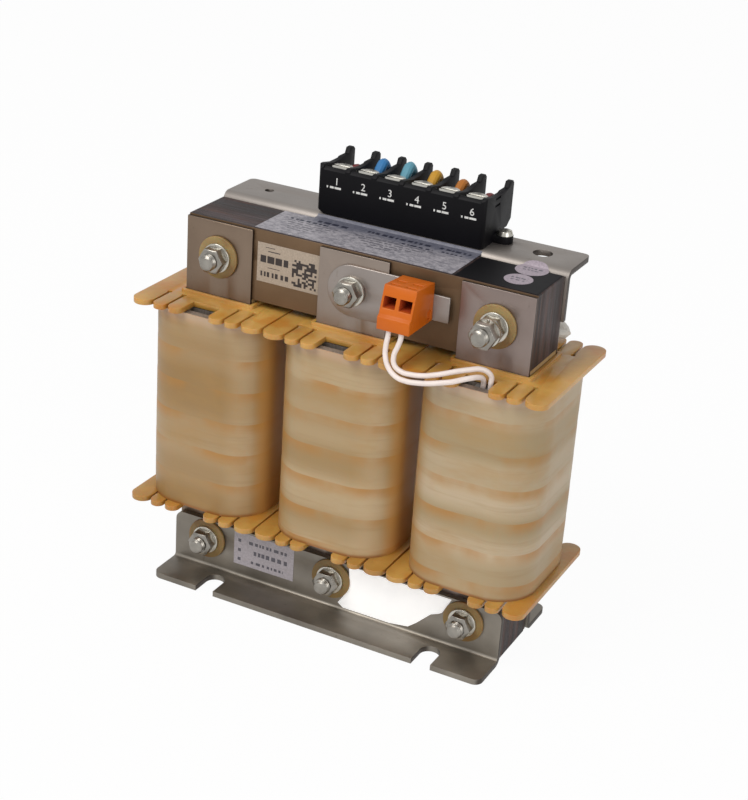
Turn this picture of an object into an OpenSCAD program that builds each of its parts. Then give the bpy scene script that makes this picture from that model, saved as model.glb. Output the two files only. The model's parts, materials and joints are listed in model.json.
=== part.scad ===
// Three-phase reactor: a three-leg laminated core with an air gap, three coils on comb-edged
// bobbins, tie straps, bolted brackets, a six-pole terminal block and a small sensor terminal.
// Millimetres. X runs along the yokes, Y through the lamination stack and Z up; the front is -Y.
// The origin is the middle of the footprint, on the plane that the feet stand on.

/* [Core] */
// Width of each of the three legs
leg_w = 25; // [22:1:30]
// Height of the lower and of the upper yoke
yoke_h = 25; // [22:1:30]
// Width of each of the two windows
window_w = 25; // [23:1:32]
// Height of the windows
window_h = 75; // [65:1:100]
// Thickness of the lamination stack
stack_t = 21; // [17:1:34]
// Air gap between the legs and the upper yoke
air_gap = 5; // [3:0.5:8]
// Height of the core's underside above the plane of the feet
core_lift = 0.5; // [0:0.5:2]

/* [Tie straps] */
// Thickness of the steel straps that run up both faces of each leg
strap_t = 1.2; // [1:0.1:2]
// How far the straps stop short of the yokes' outer edges
strap_inset = 0.5; // [0.3:0.1:1.5]

/* [Bobbins] */
// Wall of the bobbin's tube
tube_wall = 1.2; // [1:0.1:1.8]
// Clearance between the tube and what it is slipped over
tube_fit = 0.3; // [0.2:0.05:0.5]
// Thickness of the flanges
flange_t = 1.8; // [1.2:0.1:2.4]
// Length of tube that stands out below the lower flange
collar_low = 2.2; // [1.6:0.1:3.5]
// Length of tube that stands out above the upper flange
collar_up = 1.2; // [0.8:0.1:2]
// Gap between the tube's top and the upper yoke
tube_gap = 1.3; // [0.3:0.1:2]
// Gap between the flanges of neighbouring bobbins
flange_gap = 0.8; // [0.4:0.1:1.5]
// How far the comb's fingers reach past the coil's wrap, front and rear
finger_reach = 3.1; // [2.5:0.1:6]
// Half the width of the open gap in the middle of the comb
comb_gap = 5.2; // [4:0.1:6]
// Distance from the bobbin's centre line to the inner slot of the comb
slot_inner = 10.9; // [10:0.1:11.5]
// Distance from the bobbin's centre line to the outer slot of the comb
slot_outer = 16.6; // [15.5:0.1:17.5]
// Width of the comb's slots
slot_w = 0.9; // [0.6:0.1:1.4]
// Diameter of the round end of each slot
slot_eye = 1.8; // [1.5:0.1:2.4]
// Width of the flange between the tube and the slots' round ends
slot_land = 2.2; // [1.5:0.1:3]

/* [Coils] */
// Build of the inner winding
inner_build = 4.9; // [4:0.1:5.5]
// Width of the cooling duct in front and behind
duct_t = 2.9; // [2.2:0.1:3.4]
// Build of the outer winding
outer_build = 2.6; // [2:0.1:2.8]
// Thickness of the tape wrap
wrap_t = 0.7; // [0.5:0.1:0.9]
// Corner radius of the inner winding
inner_corner = 10; // [8:0.5:11]
// Width of the strips that hold the duct open
spacer_w = 2.5; // [2:0.1:3]

/* [Brackets] */
// Sheet thickness of the brackets
sheet_t = 2; // [1.5:0.1:2.5]
// Inside radius of the bends
bend_r = 1.2; // [0.8:0.1:2]
// How far the brackets stand out beyond each end of the core
bracket_over = 0.8; // [0.4:0.1:2]
// Height of the foot brackets' uprights
upright_h = 20; // [18:0.5:22]
// Depth of the feet, measured from the upright's inner face
foot_d = 16.5; // [16:0.5:24]
// Distance from a bracket's end to the middle of its foot notch
notch_inset = 21.3; // [16:0.1:26]
// Width of the foot notches
notch_w = 7; // [5.5:0.1:8]
// Depth of the foot notches
notch_d = 10.5; // [9:0.5:12]
// Radius of the feet's free corners
corner_r = 3; // [1:0.5:4]
// Radius of the shelf's free corners
shelf_corner_r = 2; // [1:0.5:4]
// Height of the terminal bracket's upright
carrier_h = 17.1; // [17:0.1:24]
// Depth of the terminal bracket's shelf, measured from the upright's inner face
carrier_d = 19; // [17:0.5:24]
// Height of the shelf's top above the upper yoke
carrier_rise = 1.3; // [0.8:0.1:2.5]
// Diameter of the large hole in the shelf
shelf_hole_d = 6.5; // [5:0.1:7]
// Distance from the shelf's right end to the large hole
shelf_hole_inset = 13.3; // [9:0.1:18]
// Diameter of the small hole in the shelf
pilot_d = 3.2; // [2.5:0.1:4]
// Distance from the shelf's left end to the small hole
pilot_inset = 11.8; // [8:0.1:17]

/* [Bolts] */
// Diameter of the through bolts
bolt_d = 5; // [4:0.5:6]
// Wall of the insulating sleeves on the bolts
sleeve_wall = 0.5; // [0.3:0.1:0.8]
// Clearance inside and outside the sleeves, on the diameter
sleeve_fit = 0.2; // [0.1:0.05:0.3]
// Width across the flats of the nuts and heads
nut_af = 8; // [8:0.5:10]
// Height of the nuts
nut_h = 4; // [3:0.1:5]
// Height of the bolt heads
head_h = 3.5; // [3:0.1:4]
// Diameter of the steel washers
washer_d = 10; // [9:0.5:12]
// Thickness of the steel washers
washer_t = 1; // [0.8:0.1:1.4]
// Diameter of the fibre washers
fibre_d = 14.5; // [13.5:0.5:18]
// Thickness of the fibre washers
fibre_t = 1; // [0.8:0.1:1.5]
// Thread left standing beyond each nut
bolt_tip = 2.4; // [1.5:0.1:4]
// Thickness of the earth stud's spring washer
lock_t = 1.3; // [1:0.1:2]

/* [Terminal block] */
// Distance from pole to pole
pole_pitch = 9.8; // [9:0.1:11]
// Offset of the block's middle from the core's middle
block_x = 2.5; // [0:0.1:4]
// Distance from the terminal bracket's inner face to the block's front
block_y = 1.3; // [0.5:0.1:2]
// Depth of the block
block_d = 22.2; // [22:0.1:26]
// Height of the front wall
block_h = 16; // [15:0.5:20]
// Thickness of the walls between the poles
fin_t = 1.8; // [1.4:0.1:2]
// Thickness of the front wall
front_t = 1.4; // [1.2:0.1:2]
// Depth of the block's base, which stands on the shelf
base_d = 15; // [14:0.5:16]
// Diameter of the terminal screws' heads
screw_d = 7; // [6:0.1:7.2]
// Diameter of the winding leads
lead_d = 3.6; // [3:0.1:4]

/* [Sensor terminal] */
// Height of the mounting strip
strip_h = 17.4; // [16:0.2:19]
// Height of the strip's narrow end
tongue_h = 8.7; // [7:0.1:10]
// Height of the narrow end's middle above the bolt's axis
tongue_rise = 1.4; // [0:0.1:3]
// Distance from the middle bolt to the strip's free end
strip_reach = 34.5; // [33:0.5:36]
// Thickness of the mounting strip
strip_t = 1; // [0.8:0.1:1.5]
// Distance from the middle bolt to the housing's left side
housing_x = 17.8; // [15:0.2:18]
// Width of the housing
housing_w = 11.2; // [10.8:0.1:12]
// Height of the housing's top above the bolt's axis
housing_top = 10.7; // [9:0.1:11.5]
// Distance between the two square entries
entry_pitch = 5.5; // [5:0.1:5.8]
// Distance between the two wires
wire_pitch = 4.4; // [4:0.1:5.2]
// Diameter of the sensor wires
wire_d = 1.7; // [1.4:0.1:2]

/* [Hidden] */
$fn = 48;

// Core levels and places
coil_pitch = leg_w + window_w;
coil_x = [-coil_pitch, 0, coil_pitch];
core_w = 3 * leg_w + 2 * window_w;
z_lower_top = core_lift + yoke_h;
z_leg_top = z_lower_top + window_h;
z_upper = z_leg_top + air_gap;
z_top = z_upper + yoke_h;
z_bolt_low = core_lift + yoke_h / 2;
z_bolt_up = z_upper + yoke_h / 2;
y_core = stack_t / 2;
y_strap = y_core + strap_t;
y_bracket = y_strap + sheet_t;
bracket_end = core_w / 2 + bracket_over;

// Bobbins: inside and outside of the tube, and levels of the flanges
tube_in = [leg_w / 2 + tube_fit, y_strap + tube_fit];
tube_out = tube_in + [tube_wall, tube_wall];
tube_corner = 1.5;
z_tube_top = z_upper - tube_gap;
z_flange_low = z_lower_top + collar_low;
z_wind_low = z_flange_low + flange_t;
z_flange_up = z_tube_top - collar_up - flange_t;
wind_clear = 0.3;
z_wind_top = z_flange_up - wind_clear;
wind_h = z_wind_top - z_wind_low;

// Coils: half sizes of each layer, from the tube outwards
layer_fit = 0.1;
inner_in = tube_out + [layer_fit, layer_fit];
inner_out = inner_in + [inner_build, inner_build];
outer_in = inner_out + [layer_fit, duct_t];
outer_out = outer_in + [outer_build, outer_build];
outer_corner = inner_corner + layer_fit + duct_t;
wrap_out = outer_out + [wrap_t, wrap_t];
flange_half = [(coil_pitch - flange_gap) / 2, wrap_out[1] + finger_reach];
slot_root = tube_out[1] + slot_land;

// Duct strips: at the ends of the inner winding's flat, no thicker than the duct is there
spacer_x = inner_out[0] - inner_corner - spacer_w / 2;
duct_flat = outer_in[0] - outer_corner;
duct_bend = max(0, spacer_x + spacer_w / 2 - duct_flat);
spacer_t = duct_t - outer_corner + sqrt(outer_corner * outer_corner - duct_bend * duct_bend) - layer_fit;

// Bolts: diameters, and how far out each stack of washers reaches
sleeve_in = bolt_d + sleeve_fit;
sleeve_out = sleeve_in + 2 * sleeve_wall;
bolt_hole = sleeve_out + sleeve_fit;
washer_in = bolt_d + 0.3;
chamfer = 0.6;
y_foot_fibre = y_bracket + fibre_t;
y_foot_washer = y_foot_fibre + washer_t;
y_foot_nut = y_foot_washer + nut_h;
y_yoke_fibre = y_strap + fibre_t;
y_yoke_washer = y_yoke_fibre + washer_t;
y_yoke_nut = y_yoke_washer + nut_h;
y_strip = y_strap + strip_t;
y_strip_washer = y_strip + washer_t;
y_strip_nut = y_strip_washer + nut_h;
y_earth_nut = y_yoke_nut + lock_t + nut_h;

// Terminal block: its base stands on the shelf, and its tail overhangs the shelf's edge
poles = 2 * len(coil_x);
z_shelf = z_top + carrier_rise;
shelf_hole_y = 10.8;
block_front = y_strap + block_y;
block_back = block_front + block_d;
block_top = z_shelf + block_h;
block_w = poles * pole_pitch + fin_t;
pole_x = [for (i = [0 : poles - 1]) block_x + (i - (poles - 1) / 2) * pole_pitch];
edge = 1;
tail_rise = 2.6;
tail_cut = 3;
tail_h = 2.2;
slope_drop = 8;
slope_start = 1.2;
fin_front = 0.6;
fin_dip = 0.4;
fin_rise = 1.9;
fin_tip = 3.2;
fin_free = 4.2;
front_corner = 1.4;
end_chamfer = [2.7, 1.3];
grip = [1, 4, 0.8];
grip_drop = [1.2, 3.6];

// Clamps and screws of the poles
screw_sink = 0.6;
screw_head_h = 2.2;
screw_shank = 4;
screw_slot = [1.1, 1];
screw_room = 1;
screw_y = block_front + front_t + screw_room + screw_d / 2;
z_clamp_top = block_top - screw_sink - screw_head_h;
clamp_size = [6.4, screw_d + 0.3, 3];
y_clamp = screw_y + clamp_size[1] / 2;
z_seat = z_clamp_top - clamp_size[2];
lead_z = z_clamp_top - clamp_size[2] / 2;

// Fixing screws of the block: one through the ear at its right end, one from below at its left end
ear_w = 5.6;
ear_y = 11.5;
fixing_d = 3;
fixing_hole = 3.2;
fixing_head = [5.4, 1.4];
fixing_slot = [0.8, 0.8];
fixing_reach = 5;
fixing_nut = [5.5, 2.4];
fixing_tip = 1.6;
fixing_right = [block_x + block_w / 2 + ear_w / 2, block_front + ear_y];
fixing_left = [pole_x[0], block_front + ear_y];

// Sensor terminal: the housing's back lies on the strip; its roof rises to the front edge, its face
// slopes down to a ledge, and the wires leave through the flat underside
housing_mid = housing_x + housing_w / 2;
wire_x = [housing_mid - wire_pitch / 2, housing_mid + wire_pitch / 2];
entry_x = [housing_mid - entry_pitch / 2, housing_mid + entry_pitch / 2];
z_housing = z_bolt_up + housing_top;
roof_d = 12.8;
roof_fall = 1;
face_run = 2.8;
face_drop = 8.8;
ledge = [1, 0.7];
keel_h = 4.1;
wire_inset = 1.8;
z_ledge = z_housing - face_drop - ledge[1];
z_wire_exit = z_ledge - keel_h;
housing_d = roof_d + face_run + ledge[0];
wire_y = -(y_strip + housing_d - wire_inset);
entry_w = 4.1;
entry_h = 3.5;
entry_back = 6.6;
z_entry = z_housing - 3.4 - entry_h / 2;
slot_size = [3.2, 1.2, 1.2];
slot_y = [6.4, 10.8];
latch = [1, 2.4, 3];
latch_y = 2.6;
clamp_plate = 0.5;

// Thermal switch in the right coil's front duct, a little clear of the right-hand duct strip
switch_size = [7.4, duct_t - tube_fit, 14];
switch_gap = 0.8;
switch_x = coil_x[2] + spacer_x - spacer_w / 2 - switch_gap - switch_size[0] / 2;
switch_y = -(inner_out[1] + switch_size[1] / 2);
z_switch = z_wind_top - 0.5;

// Basic shapes

// A cylinder along Y between two depths
module rod_y(x, y0, y1, z, d) {
    translate([x, y0, z]) rotate([-90, 0, 0]) cylinder(h = y1 - y0, d = d);
}

// A flat ring along Y: a washer whose hole has diameter bore
module ring_y(x, y0, y1, z, d, bore) {
    difference() {
        rod_y(x, y0, y1, z, d);
        rod_y(x, y0 - 1, y1 + 1, z, bore);
    }
}

// A hexagonal prism along Z with the corners of its top turned off
module hexagon(af, h) {
    tip = af / cos(30) / 2;
    intersection() {
        cylinder(h = h, r = tip, $fn = 6);
        rotate_extrude() polygon([[0, 0], [tip, 0], [tip, h - chamfer], [tip - 2 * chamfer, h], [0, h]]);
    }
}

// A nut whose face lies at depth y0 and whose chamfered side looks to the front
module nut_front(x, y0, z) {
    translate([x, -y0, z]) rotate([90, 0, 0]) difference() {
        hexagon(nut_af, nut_h);
        translate([0, 0, -1]) cylinder(h = nut_h + 2, d = bolt_d);
    }
}

// A bolt from the head behind to the tip in front
module bolt(x, z, y_head, y_tip) {
    shank = y_head + y_tip - chamfer;
    translate([x, y_head, z]) rotate([-90, 0, 0]) hexagon(nut_af, head_h);
    rod_y(x, -y_tip + chamfer, y_head, z, bolt_d);
    translate([x, -y_tip + chamfer, z]) rotate([90, 0, 0])
        cylinder(h = chamfer, d1 = bolt_d, d2 = bolt_d - 2 * chamfer);
}

// A rectangle with true round corners, from its half sizes
module rounded(half, r) {
    square([2 * half[0], 2 * (half[1] - r)], center = true);
    square([2 * (half[0] - r), 2 * half[1]], center = true);
    for (sx = [-1, 1], sy = [-1, 1])
        translate([sx * (half[0] - r), sy * (half[1] - r)]) circle(r);
}

// A ring between two rounded rectangles, standing on z0
module layer(z0, h, half_in, r_in, half_out, r_out) {
    translate([0, 0, z0]) linear_extrude(h) difference() {
        rounded(half_out, r_out);
        rounded(half_in, r_in);
    }
}

// A profile drawn in Y and Z, drawn out along X
module along_x(x0, x1) {
    translate([x0, 0, 0]) rotate([90, 0, 90]) linear_extrude(x1 - x0) children();
}

// The section of a bent sheet: a foot of length a and an upright of height b, corner at the origin
module angle_section(a, b) {
    outer = bend_r + sheet_t;
    translate([0, outer]) square([sheet_t, b - outer]);
    translate([outer, 0]) square([a - outer, sheet_t]);
    translate([outer, outer]) intersection() {
        difference() {
            circle(outer);
            circle(bend_r);
        }
        translate([-outer, -outer]) square(outer);
    }
}

// What is cut from a square corner to leave a round one of radius r; the corner is the origin
module corner_tool(r, h) {
    difference() {
        translate([-r, -r, 0]) cube([2 * r, 2 * r, h]);
        translate([-r, -r, -1]) cylinder(h = h + 2, r = r);
    }
}

// Core

module core_holes(z) {
    for (x = coil_x) rod_y(x, -y_core - 1, y_core + 1, z, bolt_hole);
}

module core_e_stack() {
    color("#2f2826") difference() {
        union() {
            translate([-core_w / 2, -y_core, core_lift]) cube([core_w, stack_t, yoke_h]);
            for (x = coil_x)
                translate([x - leg_w / 2, -y_core, core_lift]) cube([leg_w, stack_t, yoke_h + window_h]);
        }
        core_holes(z_bolt_low);
    }
}

module core_i_stack() {
    color("#2f2826") difference() {
        translate([-core_w / 2, -y_core, z_upper]) cube([core_w, stack_t, yoke_h]);
        core_holes(z_bolt_up);
    }
}

module gap_spacer(x) {
    color("#c9b27a") translate([x - leg_w / 2, -y_core, z_leg_top]) cube([leg_w, stack_t, air_gap]);
}

// A strap on the front face (side = -1) or on the rear face (side = 1) of a leg
module strap(x, side) {
    z0 = core_lift + strap_inset;
    z1 = z_top - strap_inset;
    y0 = side < 0 ? -y_strap : y_core;
    color("#a9a49c") difference() {
        translate([x - leg_w / 2, y0, z0]) cube([leg_w, strap_t, z1 - z0]);
        for (z = [z_bolt_low, z_bolt_up]) rod_y(x, y0 - 1, y0 + strap_t + 1, z, bolt_hole);
    }
}

// Coils

// One finger of the comb between two distances from the centre line, with a round tip
module finger(x0, x1) {
    r = (x1 - x0) / 2;
    translate([x0, slot_root - 1]) square([x1 - x0, flange_half[1] - r - slot_root + 1]);
    translate([x0 + r, flange_half[1] - r]) circle(r);
}

// The comb-edged flange, seen from above
module flange_shape() {
    difference() {
        union() {
            square([2 * flange_half[0], 2 * slot_root], center = true);
            for (sx = [0, 1], sy = [0, 1]) mirror([sx, 0]) mirror([0, sy]) {
                finger(comb_gap, slot_inner - slot_w / 2);
                finger(slot_inner + slot_w / 2, slot_outer - slot_w / 2);
                finger(slot_outer + slot_w / 2, flange_half[0]);
                translate([0, slot_root - 1]) square([comb_gap + 1, inner_out[1] - slot_root + 1]);
            }
        }
        for (x = [slot_inner, slot_outer], sx = [-1, 1], sy = [-1, 1])
            translate([sx * x, sy * slot_root]) circle(d = slot_eye);
        rounded(tube_in, 0.4);
    }
}

module bobbin(x) {
    color("#d8a54a") translate([x, 0, 0]) {
        layer(z_lower_top, z_tube_top - z_lower_top, tube_in, 0.4, tube_out, tube_corner);
        for (z = [z_flange_low, z_flange_up]) translate([0, 0, z]) linear_extrude(flange_t) flange_shape();
    }
}

module inner_winding(x) {
    color("#b06a3c") translate([x, 0, 0])
        layer(z_wind_low, wind_h, inner_in, tube_corner + layer_fit, inner_out, inner_corner);
}

module outer_winding(x) {
    color("#8d8982") translate([x, 0, 0])
        layer(z_wind_low, wind_h, outer_in, outer_corner, outer_out, outer_corner + outer_build);
}

module coil_wrap(x) {
    color("#e3d2ae") translate([x, 0, 0])
        layer(z_wind_low, wind_h, outer_out, outer_corner + outer_build,
              wrap_out, outer_corner + outer_build + wrap_t);
}

// Two strips in the front duct and two in the rear one
module duct_spacers(x) {
    color("#6b5a3c") for (sx = [-1, 1], sy = [-1, 1])
        translate([x + sx * spacer_x, sy * (inner_out[1] + spacer_t / 2), z_wind_low + wind_h / 2])
            cube([spacer_w, spacer_t, wind_h], center = true);
}

module thermal_switch() {
    color("#9a9a98") translate([switch_x, switch_y, z_switch - switch_size[2] / 2])
        cube(switch_size, center = true);
}

// Brackets

// The foot bracket in front; the rear one is its mirror image
module foot_bracket() {
    difference() {
        along_x(-bracket_end, bracket_end) translate([-y_strap, 0]) mirror([1, 0])
            angle_section(foot_d, upright_h);
        for (x = coil_x) rod_y(x, -y_bracket - 1, -y_strap + 1, z_bolt_low, bolt_hole);
        for (sx = [-1, 1]) {
            translate([sx * (bracket_end - notch_inset), -y_strap - foot_d, -1]) foot_notch();
            translate([sx * bracket_end, -y_strap - foot_d, -1]) mirror([sx < 0 ? 1 : 0, 0, 0])
                mirror([0, 1, 0]) corner_tool(corner_r, sheet_t + 2);
            translate([sx * bracket_end, -y_strap + 1, upright_h]) mirror([sx < 0 ? 1 : 0, 0, 0])
                rotate([90, 0, 0]) corner_tool(corner_r, sheet_t + 2);
        }
    }
}

// An open notch with a round inner end, cut from the foot's free edge
module foot_notch() {
    translate([-notch_w / 2, -1, 0]) cube([notch_w, notch_d - notch_w / 2 + 1, sheet_t + 2]);
    translate([0, notch_d - notch_w / 2, 0]) cylinder(h = sheet_t + 2, d = notch_w);
}

module foot_bracket_front() {
    color("#8f8a80") foot_bracket();
}

module foot_bracket_rear() {
    color("#8f8a80") mirror([0, 1, 0]) foot_bracket();
}

// The rear bracket on the upper yoke, whose shelf carries the terminal block
module terminal_bracket() {
    y_edge = y_strap + carrier_d;
    color("#b5b0a6") difference() {
        along_x(-bracket_end, bracket_end) translate([y_strap, z_shelf]) mirror([0, 1])
            angle_section(carrier_d, carrier_h);
        for (x = coil_x) rod_y(x, y_strap - 1, y_bracket + 1, z_bolt_up, bolt_hole);
        translate([bracket_end - shelf_hole_inset, y_strap + shelf_hole_y, z_shelf - sheet_t - 1])
            cylinder(h = sheet_t + 2, d = shelf_hole_d);
        translate([pilot_inset - bracket_end, y_strap + shelf_hole_y, z_shelf - sheet_t - 1])
            cylinder(h = sheet_t + 2, d = pilot_d);
        for (p = [fixing_left, fixing_right]) translate([p[0], p[1], z_shelf - sheet_t - 1])
            cylinder(h = sheet_t + 2, d = fixing_hole);
        for (sx = [-1, 1])
            translate([sx * bracket_end, y_edge, z_shelf - sheet_t - 1]) mirror([sx < 0 ? 1 : 0, 0, 0])
                corner_tool(shelf_corner_r, sheet_t + 2);
    }
}

// Bolts and washers

module core_bolts() {
    color("#c3c2bd") {
        for (x = coil_x) bolt(x, z_bolt_low, y_foot_washer, y_foot_nut + bolt_tip);
        bolt(coil_x[0], z_bolt_up, y_foot_washer, y_yoke_nut + bolt_tip);
        bolt(coil_x[1], z_bolt_up, y_foot_washer, y_strip_nut + bolt_tip);
    }
}

module earth_bolt() {
    color("#c3c2bd") bolt(coil_x[2], z_bolt_up, y_foot_washer, y_earth_nut + bolt_tip);
}

module bolt_sleeves() {
    color("#ddd6c0") for (x = coil_x) {
        ring_y(x, -y_bracket, y_bracket, z_bolt_low, sleeve_out, sleeve_in);
        ring_y(x, -y_strap, y_bracket, z_bolt_up, sleeve_out, sleeve_in);
    }
}

module fibre_washers() {
    color("#b98a3f") for (x = coil_x) {
        ring_y(x, -y_foot_fibre, -y_bracket, z_bolt_low, fibre_d, washer_in);
        ring_y(x, y_bracket, y_foot_fibre, z_bolt_low, fibre_d, washer_in);
        if (x != 0) ring_y(x, -y_yoke_fibre, -y_strap, z_bolt_up, fibre_d, washer_in);
        ring_y(x, y_bracket, y_foot_fibre, z_bolt_up, fibre_d, washer_in);
    }
}

module steel_washers() {
    color("#c9c8c3") for (x = coil_x) {
        ring_y(x, -y_foot_washer, -y_foot_fibre, z_bolt_low, washer_d, washer_in);
        ring_y(x, y_foot_fibre, y_foot_washer, z_bolt_low, washer_d, washer_in);
        ring_y(x, y_foot_fibre, y_foot_washer, z_bolt_up, washer_d, washer_in);
        front = x == 0 ? y_strip : y_yoke_fibre;
        ring_y(x, -front - washer_t, -front, z_bolt_up, washer_d, washer_in);
    }
}

module hex_nuts() {
    color("#bdbcb7") {
        for (x = coil_x) nut_front(x, y_foot_washer, z_bolt_low);
        nut_front(coil_x[0], y_yoke_washer, z_bolt_up);
        nut_front(coil_x[1], y_strip_washer, z_bolt_up);
        nut_front(coil_x[2], y_yoke_washer, z_bolt_up);
        nut_front(coil_x[2], y_yoke_nut + lock_t, z_bolt_up);
    }
}

// The split spring washer between the earth stud's two nuts
module spring_washer() {
    color("#aeadaa") difference() {
        ring_y(coil_x[2], -y_yoke_nut - lock_t, -y_yoke_nut, z_bolt_up, washer_d - 1, washer_in);
        translate([coil_x[2], -y_yoke_nut - lock_t / 2, z_bolt_up + washer_d / 2])
            rotate([0, 0, 30]) cube([0.8, 2 * lock_t + 2, washer_d - washer_in], center = true);
    }
}

// Terminal block

// Side outline of the walls between the poles: high in front, a dip beside the screw, a hook behind
module fin_profile() {
    dip = block_h - fin_dip;
    dip_end = block_d - 2 * fin_free;
    front = block_h + fin_front;
    hook = block_h + fin_rise;
    translate([block_front, z_shelf]) polygon([
        [0, 0], [base_d, 0], [base_d, tail_rise], [block_d - tail_cut, tail_rise],
        [block_d, tail_rise + tail_h], [block_d, hook - edge], [block_d - edge, hook],
        [block_d - fin_tip, hook], [block_d - fin_tip - edge, block_h], [dip_end, block_h],
        [dip_end - edge, dip], [front_t + screw_d - edge, dip], [front_t + edge, front],
        [edge, front], [0, front - edge]
    ]);
}

// Side outline of the body under the poles: front wall, seat of the clamps and falling rear floor,
// which ends before the walls do, so that the leads drop between them
module pole_profile() {
    seat = z_seat - z_shelf;
    top = z_clamp_top - z_shelf;
    back = y_clamp - block_front;
    translate([block_front, z_shelf]) polygon([
        [0, 0], [base_d, 0], [base_d, tail_rise], [block_d - fin_free, tail_rise],
        [block_d - fin_free, block_h - slope_drop], [back + slope_start, top], [back, top], [back, seat],
        [front_t, seat], [front_t, block_h], [edge, block_h], [0, block_h - edge]
    ]);
}

// The housing has round front corners, a cut lower left edge and two grip slots in its right end; a
// trough behind each clamp takes the lead
module block_housing() {
    trough = lead_d + 2 * layer_fit;
    x0 = block_x - block_w / 2;
    x1 = x0 + block_w;
    color("#1c1c1e") difference() {
        union() {
            along_x(x0, x1) pole_profile();
            for (i = [0 : poles])
                along_x(x0 + i * pole_pitch, x0 + i * pole_pitch + fin_t) fin_profile();
            translate([fixing_right[0], fixing_right[1], z_shelf]) {
                translate([-ear_w / 2 - edge, -ear_w / 2, 0]) cube([ear_w / 2 + edge, ear_w, tail_rise]);
                cylinder(h = tail_rise, d = ear_w);
            }
        }
        translate([fixing_right[0], fixing_right[1], z_shelf - 1])
            cylinder(h = tail_rise + 2, d = fixing_hole);
        translate([fixing_left[0], fixing_left[1], z_shelf - 1]) cylinder(h = fixing_reach + 1, d = fixing_d);
        for (x = pole_x) {
            rod_y(x, y_clamp, block_back + 1, lead_z, trough);
            translate([x - trough / 2, y_clamp, lead_z]) cube([trough, block_d, block_h]);
        }
        for (sx = [0, 1]) translate([sx == 0 ? x0 : x1, block_front, z_shelf - 1]) mirror([1 - sx, 0, 0])
            mirror([0, 1, 0]) corner_tool(front_corner, block_h + fin_rise + 2);
        translate([x0, block_back + 1, z_shelf]) rotate([90, 0, 0]) linear_extrude(block_d + 2)
            polygon([[-edge, -edge], [end_chamfer[0], -edge], [end_chamfer[0], 0],
                     [0, end_chamfer[1]], [-edge, end_chamfer[1]]]);
        for (drop = grip_drop) translate([x1, screw_y + grip[1], block_top - drop]) cube(grip, center = true);
    }
}

// A clamp plate under each terminal screw
module block_clamps() {
    color("#b9b6ae") for (x = pole_x) translate([x, screw_y, z_seat]) difference() {
        translate([-clamp_size[0] / 2, -clamp_size[1] / 2, 0]) cube(clamp_size);
        translate([0, 0, -1]) cylinder(h = clamp_size[2] + 2, d = screw_shank);
    }
}

// Slotted screws, one to a pole
module block_screws() {
    color("#d4d2cc") for (x = pole_x) translate([x, screw_y, z_seat]) {
        cylinder(h = clamp_size[2], d = screw_shank);
        translate([0, 0, clamp_size[2]]) slotted_head(screw_d, screw_d, screw_head_h, screw_slot);
    }
}

// A screw head that narrows from d1 to d2, with a slot of a given width and depth
module slotted_head(d1, d2, h, slot) {
    difference() {
        cylinder(h = h, d1 = d1, d2 = d2);
        translate([0, 0, h]) cube([d1 + 2, slot[0], 2 * slot[1]], center = true);
    }
}

// The two screws that hold the block on the shelf, and the nut under the ear
module block_fixings() {
    z_under = z_shelf - sheet_t;
    drop = fixing_nut[1] + fixing_tip;
    color("#c9c8c3") {
        translate([fixing_right[0], fixing_right[1], z_under - drop]) {
            cylinder(h = drop + sheet_t + tail_rise, d = fixing_d);
            translate([0, 0, drop + sheet_t + tail_rise])
                slotted_head(fixing_head[0], fixing_head[0] - edge, fixing_head[1], fixing_slot);
        }
        translate([fixing_right[0], fixing_right[1], z_under]) mirror([0, 0, 1])
            hexagon(fixing_nut[0], fixing_nut[1]);
        translate([fixing_left[0], fixing_left[1], z_under]) {
            cylinder(h = sheet_t + fixing_reach, d = fixing_d);
            mirror([0, 0, 1])
                slotted_head(fixing_head[0], fixing_head[0] - edge, fixing_head[1], fixing_slot);
        }
    }
}

// Leads and wires

// Directions along a route, and a set of side vectors carried along it without twist
function unit(v) = v / norm(v);
function heading(p, i) =
    i == 0 ? unit(p[1] - p[0]) :
    i == len(p) - 1 ? unit(p[i] - p[i - 1]) :
    unit(unit(p[i] - p[i - 1]) + unit(p[i + 1] - p[i]));
function carried(p, i, n) = unit(n - (n * heading(p, i)) * heading(p, i));
function sides(p, n, i = 0) =
    i == len(p) ? [] : concat([carried(p, i, n)], sides(p, carried(p, i, n), i + 1));

// A smooth curve through a route's points, in k steps a span; the first and last spans stay straight
function curve(a, b, c, d, t) =
    b + t / 2 * (c - a + t * (2 * a - 5 * b + 4 * c - d + t * (3 * b - a - 3 * c + d)));
function smooth(p, k) = concat(
    [p[0]],
    [for (i = [1 : len(p) - 3], j = [0 : k - 1]) curve(p[i - 1], p[i], p[i + 1], p[i + 2], j / k)],
    [p[len(p) - 2], p[len(p) - 1]]);

// A round cord of diameter d along the points p, with m sides; n is any direction across its start
module cord(p, d, m, n) {
    s = sides(p, n);
    rings = [for (i = [0 : len(p) - 1], k = [0 : m - 1])
        let (t = heading(p, i), b = cross(t, s[i]), a = 360 * k / m)
        p[i] + d / 2 * (cos(a) * s[i] + sin(a) * b)];
    walls = [for (i = [0 : len(p) - 2], k = [0 : m - 1])
        [i * m + k, (i + 1) * m + k, (i + 1) * m + (k + 1) % m, i * m + (k + 1) % m]];
    start = [for (k = [0 : m - 1]) k];
    end = [for (k = [m - 1 : -1 : 0]) (len(p) - 1) * m + k];
    polyhedron(points = rings, faces = concat(walls, [start, end]));
}

// How the leads run: from their clamps over the block's rear floor, some higher than others, down
// between the walls and behind the bracket to the outer winding's rear, beside the coil's middle
lead_side = 2.6;
lead_stub = 2;
lead_rise = [0, 3.9, 4.7, 3.8, 2.7, 0];
lead_back = [5, 11, 9, 9, 11, 5];
lead_y = (outer_in[1] + outer_out[1]) / 2;
drop_y = block_back - lead_d / 2;

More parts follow.
